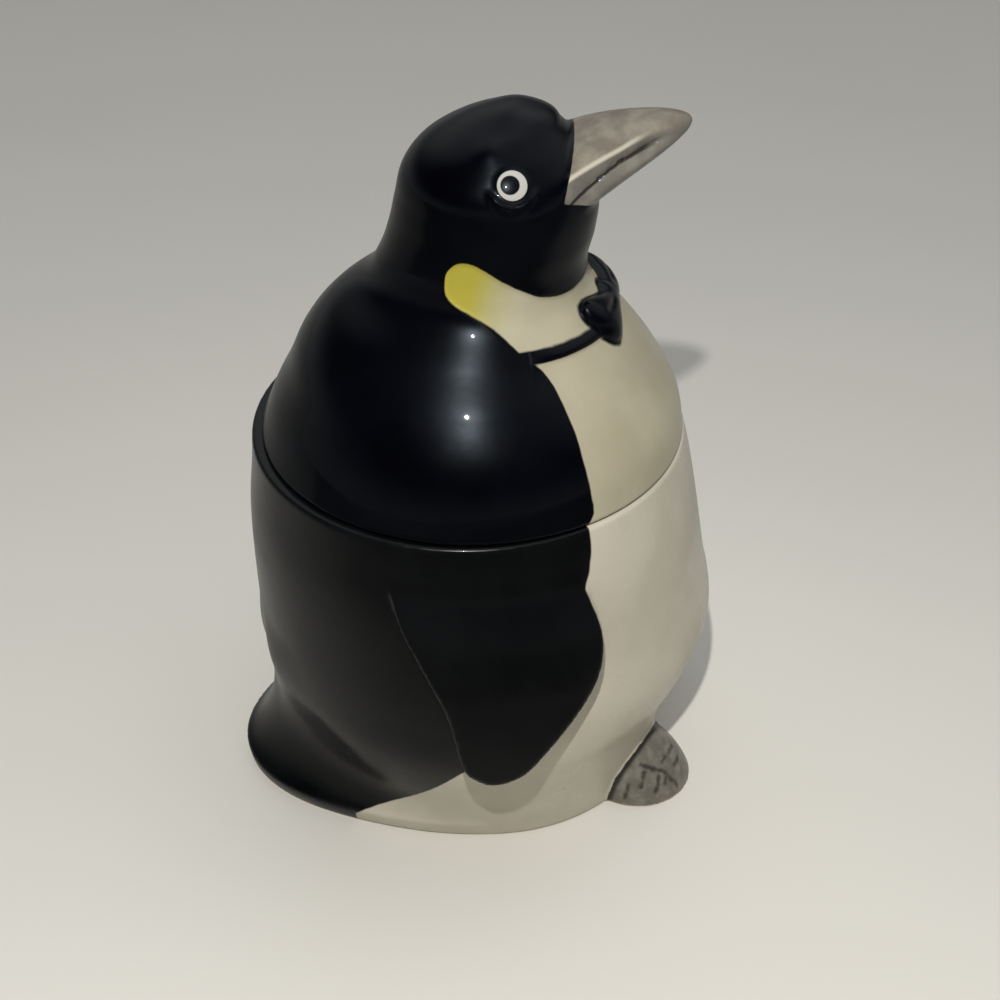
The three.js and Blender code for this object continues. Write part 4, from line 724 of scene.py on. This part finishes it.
# Short way to build a node tree: each call adds a node and returns its output
class Graph:
    def __init__(self, owner, shader="Principled BSDF", place="Object"):
        owner.use_nodes = True
        self.owner = owner
        self.tree = owner.node_tree
        self.shader = self.tree.nodes[shader]
        self.place = self.add("ShaderNodeTexCoord").outputs[place]

    def add(self, kind, inputs=(), **settings):
        made = self.tree.nodes.new(kind)
        for key, value in settings.items():
            setattr(made, key, value)
        for key, value in dict(inputs).items():
            self.put(made.inputs[key], value)
        return made

    def put(self, socket, value):
        if isinstance(value, bpy.types.NodeSocket):
            self.tree.links.new(value, socket)
        else:
            socket.default_value = value

    def noise(self, scale, detail=3.0, rough=0.5):
        return self.add("ShaderNodeTexNoise", {
            "Vector": self.place, "Scale": scale, "Detail": detail, "Roughness": rough,
        }).outputs["Fac"]

    def zone(self, name):
        return self.add("ShaderNodeAttribute", attribute_name=name).outputs["Fac"]

    def math(self, operation, a, b):
        return self.add("ShaderNodeMath", {0: a, 1: b}, operation=operation).outputs[0]

    def vector(self, operation, a, b, output="Vector"):
        return self.add("ShaderNodeVectorMath", {0: a, 1: b}, operation=operation).outputs[output]

    def ramp(self, value, low, high, to_low=0.0, to_high=1.0, kind="SMOOTHSTEP"):
        return self.add("ShaderNodeMapRange", {
            "Value": value, "From Min": low, "From Max": high, "To Min": to_low, "To Max": to_high,
        }, interpolation_type=kind).outputs["Result"]

    def mix(self, factor, a, b):
        made = self.add("ShaderNodeMix", data_type="RGBA")
        for index, value in ((0, factor), (6, a), (7, b)):
            self.put(made.inputs[index], value)
        return made.outputs[2]

    # One inside the zone and zero outside it, with the slight wobble of a painted edge
    def painted(self, zone, soft=0.25, wobble=0.2, scale=350.0):
        uneven = self.ramp(self.noise(scale, 2), 0, 1, -wobble / 2, wobble / 2)
        return self.ramp(self.math("ADD", self.zone(zone), uneven), soft, -soft)

    def bump(self, height, strength, distance):
        made = self.add("ShaderNodeBump", {"Height": height, "Strength": strength, "Distance": distance})
        self.put(self.shader.inputs["Normal"], made.outputs["Normal"])

    def finish(self, **sockets):
        for key, value in sockets.items():
            self.put(self.shader.inputs[key.replace("_", " ")], value)
        return self.owner


def material_graph(name):
    return Graph(bpy.data.materials.new(name))


# Colours of the glaze and the paint, most of them as two tones that mix unevenly
IVORY = (srgb(172, 166, 144), srgb(161, 154, 132))
BELLY = (srgb(192, 186, 170), srgb(181, 175, 158))
LID_BLACK = (srgb(1, 1, 4), srgb(3, 4, 9))
JAR_BLACK_TONES = (srgb(3, 4, 5), srgb(8, 9, 11))
YELLOW = (srgb(162, 157, 84), srgb(161, 151, 60))
SILVER = (srgb(108, 102, 91), srgb(132, 126, 114))
# Below the upper beak's edge: partly the lower beak's own greyer tone, partly painted shade where the
# face under the edge turns down
SILVER_LOWER_AND_SHADE = (srgb(105, 102, 95), srgb(122, 119, 111))
# Painted highlight along the upper beak's lower edge
SILVER_PAINTED_HIGHLIGHT = srgb(202, 196, 180)
MOUTH = srgb(46, 43, 40)
TOE = (srgb(104, 101, 92), srgb(128, 124, 114))
VEIN = srgb(46, 43, 38)
CLAY = (srgb(196, 180, 154), srgb(176, 158, 132))
EYE_WHITE = srgb(172, 170, 165)
PUPIL = srgb(8, 8, 12)

# Distances at which paint starts and at which it covers fully, among them the painted highlight on the
# beak's edge and the painted shade where the foot meets the belly
EYE_EDGE = (3.64, 3.39)
PUPIL_EDGE = (2.52, 2.27)
BEAK_HIGHLIGHT_FADE = (1.0, 0.1)
MOUTH_EDGE = (0.75, 0.2)
BEAK_TONE_CHANGE = (-0.4, 0.4)
FOOT_JOINT_SHADE = (2.2, 0.9)

# Shares of the beak's length over which its painted highlight and its mouth line end, and of the yellow
# over which it deepens
BEAK_HIGHLIGHT_END = (0.7, 0.45)
MOUTH_END = (0.75, 0.6)
YELLOW_DEEPENS = (0.6, 1.0)
BEAK_HIGHLIGHT_COVER = 0.75
VEIN_COVER = 0.8

# Uneven glaze and paint as scale and detail of a noise
MOTTLE = (45, 4)
TOE_GRAIN = (300, 2)
BEAK_GRAIN = (190, 3)
VEIN_GRAIN = (500, 2)
JAR_RIPPLE = (160, 2)
LID_RIPPLE = (140, 2)
JAR_RIPPLE_STRENGTH = 0.05
LID_RIPPLE_STRENGTH = 0.04
RIPPLE_HEIGHT = 1.0
JAR_ROUGHNESS = (0.26, 0.34)
LID_ROUGHNESS = (0.28, 0.33)
CLAY_ROUGHNESS = 0.85

# Painted veins of the right foot, each from one place to another
FOOT_VEINS = (
    ((-34.1, -49.6, 12.6), (-33.0, -56.0, 9.2)), ((-33.0, -56.0, 9.2), (-32.7, -60.8, 3.1)),
    ((-23.3, -59.5, 10.1), (-31.0, -56.0, 10.9)), ((-25.7, -61.3, 7.5), (-29.1, -59.9, 8.0)),
    ((-35.3, -50.6, 10.6), (-37.4, -49.8, 7.1)), ((-34.3, -55.1, 8.5), (-36.8, -54.3, 4.8)),
    ((-33.5, -57.3, 7.2), (-34.7, -57.0, 5.9)), ((-37.5, -46.0, 7.9), (-38.4, -45.3, 3.4)),
)
VEIN_WIDTH = 1.2
VEIN_WOBBLE = 0.6


# Distance in metres from the nearest painted vein, the same on both feet
def vein_distance(g):
    parts = g.add("ShaderNodeSeparateXYZ", {0: g.place})
    flipped = g.math("MULTIPLY", g.math("ABSOLUTE", parts.outputs["X"], 0.0), -1.0)
    place = g.add("ShaderNodeCombineXYZ", {
        "X": flipped, "Y": parts.outputs["Y"], "Z": parts.outputs["Z"],
    }).outputs[0]
    nearest = 1.0
    for start, end in FOOT_VEINS:
        start, way = Vector(start) * MM, (Vector(end) - Vector(start)) * MM
        from_start = g.vector("SUBTRACT", place, start)
        along = g.vector("DOT_PRODUCT", from_start, way / way.length_squared, "Value")
        along = g.ramp(along, 0, 1, kind="LINEAR")
        scaled = g.add("ShaderNodeVectorMath", {0: way, "Scale": along}, operation="SCALE")
        apart = g.vector("DISTANCE", from_start, scaled.outputs[0], "Value")
        nearest = g.math("MINIMUM", apart, nearest)
    return nearest


def jar_glaze():
    g = material_graph("jar_glaze_paint")
    broad = g.ramp(g.noise(*MOTTLE), 0.3, 0.7)
    fine = g.ramp(g.noise(*TOE_GRAIN), 0.35, 0.75)
    white = g.mix(broad, *BELLY)
    black = g.mix(broad, *JAR_BLACK_TONES)
    colour = g.mix(g.painted("black"), white, black)
    toes = g.painted("toes", wobble=0.8)
    colour = g.mix(toes, colour, g.mix(fine, *TOE))
    uneven = g.ramp(g.noise(*VEIN_GRAIN), 0, 1, -VEIN_WOBBLE * MM, VEIN_WOBBLE * MM)
    stroke = g.ramp(g.math("ADD", vein_distance(g), uneven), VEIN_WIDTH * MM, 0, 0, VEIN_COVER)
    # Painted veins, and painted shade in the crease where the foot meets the belly
    veins_and_shade = g.math("MAXIMUM", stroke, g.ramp(g.zone("joint"), *FOOT_JOINT_SHADE))
    colour = g.mix(g.math("MULTIPLY", veins_and_shade, toes), colour, VEIN)
    bare = g.painted("bare", soft=0.5, wobble=0.6)
    colour = g.mix(bare, colour, g.mix(fine, *CLAY))
    glazed = g.ramp(broad, 0, 1, *JAR_ROUGHNESS)
    roughness = g.math("MAXIMUM", glazed, g.ramp(bare, 0, 1, 0.0, CLAY_ROUGHNESS))
    g.bump(g.noise(*JAR_RIPPLE), JAR_RIPPLE_STRENGTH, RIPPLE_HEIGHT * MM)
    return g.finish(
        Base_Color=colour, Roughness=roughness, Specular_IOR_Level=0.17,
        Coat_Weight=0.05, Coat_Roughness=0.06,
    )


def lid_glaze():
    g = material_graph("lid_glaze_paint")
    broad = g.ramp(g.noise(*MOTTLE), 0.3, 0.7)
    fine = g.ramp(g.noise(*BEAK_GRAIN), 0.35, 0.7)
    yellow = g.mix(g.ramp(g.zone("yellow"), *YELLOW_DEEPENS), *YELLOW)
    white = g.mix(g.zone("yellow"), g.mix(broad, *IVORY), yellow)
    colour = g.mix(g.painted("dark"), white, g.mix(broad, *LID_BLACK))
    # Darker tone below the upper beak's edge, partly painted shade of the downward face
    upper = g.ramp(g.zone("ridge"), *BEAK_TONE_CHANGE)
    silver = g.mix(upper, g.mix(fine, *SILVER_LOWER_AND_SHADE), g.mix(fine, *SILVER))
    from_edge = g.math("ABSOLUTE", g.zone("ridge"), 0.0)
    # Painted highlight: a pale streak along the upper beak's lower edge, full near the root and gone
    # towards the tip
    painted_highlight = g.ramp(from_edge, *BEAK_HIGHLIGHT_FADE, 0, BEAK_HIGHLIGHT_COVER)
    painted_highlight = g.math("MULTIPLY", painted_highlight, g.ramp(g.zone("beak_share"), *BEAK_HIGHLIGHT_END))
    silver = g.mix(painted_highlight, silver, SILVER_PAINTED_HIGHLIGHT)
    line = g.ramp(g.math("ABSOLUTE", g.zone("mouth"), 0.0), *MOUTH_EDGE)
    line = g.math("MULTIPLY", line, g.ramp(g.zone("beak_share"), *MOUTH_END))
    silver = g.mix(line, silver, MOUTH)
    colour = g.mix(g.painted("beak", soft=0.15), colour, silver)
    colour = g.mix(g.ramp(g.zone("eye"), *EYE_EDGE), colour, EYE_WHITE)
    colour = g.mix(g.ramp(g.zone("pupil"), *PUPIL_EDGE), colour, PUPIL)
    g.bump(g.noise(*LID_RIPPLE), LID_RIPPLE_STRENGTH, RIPPLE_HEIGHT * MM)
    return g.finish(
        Base_Color=colour, Roughness=g.ramp(broad, 0, 1, *LID_ROUGHNESS), Specular_IOR_Level=0.07,
        Specular_Tint=(0.75, 0.88, 1.0, 1.0), Coat_Weight=0.2, Coat_Roughness=0.035,
    )


# Metal: fine grain in its colour, finer relief, and broader patches in its polish
METAL_RELIEF_SCALE = 1.7
METAL_POLISH_SCALE = 0.4
METAL_RELIEF = 0.2
METAL_BUMP = 0.08
DULLER = 0.08
BRIGHTER = 0.06


def metal(name, dark, light, roughness, grain):
    g = material_graph(name)
    fine = g.ramp(g.noise(grain, 4), 0.3, 0.7)
    g.bump(g.noise(grain * METAL_RELIEF_SCALE, 2), METAL_BUMP, METAL_RELIEF * MM)
    polish = g.noise(grain * METAL_POLISH_SCALE, 3)
    return g.finish(
        Base_Color=g.mix(fine, dark, light), Metallic=1.0,
        Roughness=g.ramp(polish, 0.3, 0.7, roughness - BRIGHTER, roughness + DULLER),
    )


# Matt material: one grain in its colour and roughness, and a finer one in its relief
MATT_RELIEF_SCALE = 1.3
MATT_BUMP = 0.3
MATT_SPREAD = 0.06


def matt(name, dark, light, roughness, grain, relief):
    g = material_graph(name)
    fine = g.ramp(g.noise(grain, 5, 0.65), 0.3, 0.7)
    g.bump(g.noise(grain * MATT_RELIEF_SCALE, 4), MATT_BUMP, relief * MM)
    return g.finish(
        Base_Color=g.mix(fine, dark, light),
        Roughness=g.ramp(fine, 0, 1, roughness - MATT_SPREAD, roughness + MATT_SPREAD),
    )


# Castings
lengthen = 1.0
jar_low, jar_high, jar_step = JAR_GRID
jar_points, jar_quads = surface(jar_field, jar_low, jar_high, jar_step * lengthen)
jar = casting("penguin_jar", jar_points, jar_quads, jar_zones(jar_points))
jar.data.materials.append(jar_glaze())
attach(jar, "case")
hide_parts("jar_body")

lid_low, lid_high, lid_step = LID_GRID
lid_points, lid_quads = surface(lid_field, lid_low, lid_high, lid_step * lengthen)
lid = casting("penguin_lid", lid_points, lid_quads, lid_zones(lid_points))
lid.data.materials.append(lid_glaze())
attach(lid, "cover")
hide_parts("lid")

# Movement, base plate and key: the CAD pieces with their own materials
finishes = {
    "brass": metal("brass_satin", srgb(176, 138, 66), srgb(202, 166, 92), 0.28, 900),
    "plated_steel": metal("steel_zinc_plate", srgb(168, 170, 172), srgb(196, 198, 200), 0.26, 1100),
    "spring_steel": metal("steel_blued", srgb(58, 68, 92), srgb(86, 96, 118), 0.3, 1000),
    "zinc_casting": metal("zinc_as_cast", srgb(140, 142, 146), srgb(168, 170, 173), 0.5, 500),
    "soft_rubber": matt("rubber_black", srgb(24, 24, 24), srgb(38, 38, 37), 0.72, 900, 0.3),
    "fibre_board": matt("fibre_board_pressed", srgb(92, 72, 50), srgb(134, 110, 80), 0.82, 420, 0.4),
    "dark_plastic": matt("plastic_dark", srgb(30, 30, 32), srgb(44, 44, 46), 0.5, 1200, 0.2),
}
for subpart in frame["record"]["subparts"]:
    node, slot = subpart["node"], subpart["material_slot"]
    if slot in finishes:
        mesh = frame["nodes"][node].data
        mesh.materials.clear()
        mesh.materials.append(finishes[slot])

# Floor in metres: darker where glossy surfaces mirror it, and most so on the camera's side
FLOOR_SIZE = 8
FLOOR_TONES = (srgb(214, 211, 203), srgb(220, 217, 209))
FLOOR_MIRRORED = (srgb(200, 198, 191), srgb(96, 95, 92))
MIRRORED_NEAR = (-0.05, -0.2)
MIRRORED_FAR = (-2.0, -0.4)
bpy.ops.mesh.primitive_plane_add(size=FLOOR_SIZE, location=(0, 0, 0))
floor = bpy.context.object
floor.name = "floor"
ground = material_graph("floor_pale")
pale = ground.mix(ground.noise(6, 3), *FLOOR_TONES)
mirrored = ground.add("ShaderNodeLightPath").outputs["Is Glossy Ray"]
sideways = ground.add("ShaderNodeSeparateXYZ", {0: ground.place}).outputs["X"]
nearer, farther = ground.ramp(sideways, *MIRRORED_NEAR), ground.ramp(sideways, *MIRRORED_FAR)
towards = ground.math("MULTIPLY", nearer, farther)
floor.data.materials.append(ground.finish(
    Base_Color=ground.mix(mirrored, pale, ground.mix(towards, *FLOOR_MIRRORED)), Roughness=0.6,
))


# Direction to a light from its angles
def way_to(azimuth, elevation):
    a, e = math.radians(azimuth), math.radians(elevation)
    return Vector((math.cos(e) * math.cos(a), math.cos(e) * math.sin(a), math.sin(e)))


# Key lamp above the camera
KEY_PLACE = (-338.0, 6.0, 498.0)
KEY_RADIUS = 6.0
KEY_POWER = 9.5
KEY_TINT = (1.0, 0.985, 0.95)
key_data = bpy.data.lights.new("key_lamp", "POINT")
key_data.energy = KEY_POWER
key_data.color = KEY_TINT
key_data.shadow_soft_size = KEY_RADIUS * MM
key_lamp = bpy.data.objects.new("key_lamp", key_data)
bpy.context.scene.collection.objects.link(key_lamp)
key_lamp.location = Vector(KEY_PLACE) * MM

# Room: dim, with a glow above the horizon and soft boxes in it
# Each soft box has its azimuth, elevation, angles of its full and its dark edge, and strength
ROOM_LEVEL = 0.03
ROOM_TINT = (0.97, 0.985, 1.0, 1.0)
GLOW_HEIGHT = 0.3
GLOW_LEVEL = 0.3
SOFT_BOXES = ((290, 55, 5, 50, 0.72), (20, 55, 5, 50, 0.68))
room = Graph(bpy.data.worlds.new("room"), "Background", "Generated")
room_light = ROOM_LEVEL
for azimuth, elevation, full, dark, strength in SOFT_BOXES:
    facing = room.vector("DOT_PRODUCT", room.place, way_to(azimuth, elevation), "Value")
    dark_edge, full_edge = math.cos(math.radians(dark)), math.cos(math.radians(full))
    box_light = room.ramp(facing, dark_edge, full_edge, 0, strength)
    room_light = room.math("ADD", box_light, room_light)
upwards = room.add("ShaderNodeSeparateXYZ", {0: room.place}).outputs["Z"]
glow = room.ramp(upwards, GLOW_HEIGHT, 0, 0, GLOW_LEVEL)
room_light = room.math("ADD", room_light, glow)
bpy.context.scene.world = room.finish(Strength=room_light, Color=ROOM_TINT)

# Camera at the photograph's angle
camera_data = bpy.data.cameras.new("camera")
camera_data.lens = CAMERA_LENS
camera_data.sensor_width = CAMERA_SENSOR
camera_data.sensor_fit = "HORIZONTAL"
camera_data.clip_start = CAMERA_NEAR * MM
camera = bpy.data.objects.new("camera", camera_data)
bpy.context.scene.collection.objects.link(camera)
camera.location = Vector(CAMERA_PLACE) * MM
azimuth, pitch = math.radians(CAMERA_AZIMUTH), math.radians(CAMERA_PITCH)
level_part = math.cos(pitch)
look = Vector((math.sin(azimuth) * level_part, math.cos(azimuth) * level_part, -math.sin(pitch)))
camera.rotation_euler = look.to_track_quat("-Z", "Y").to_euler()
bpy.context.scene.camera = camera

bpy.context.scene.view_settings.view_transform = "Standard"
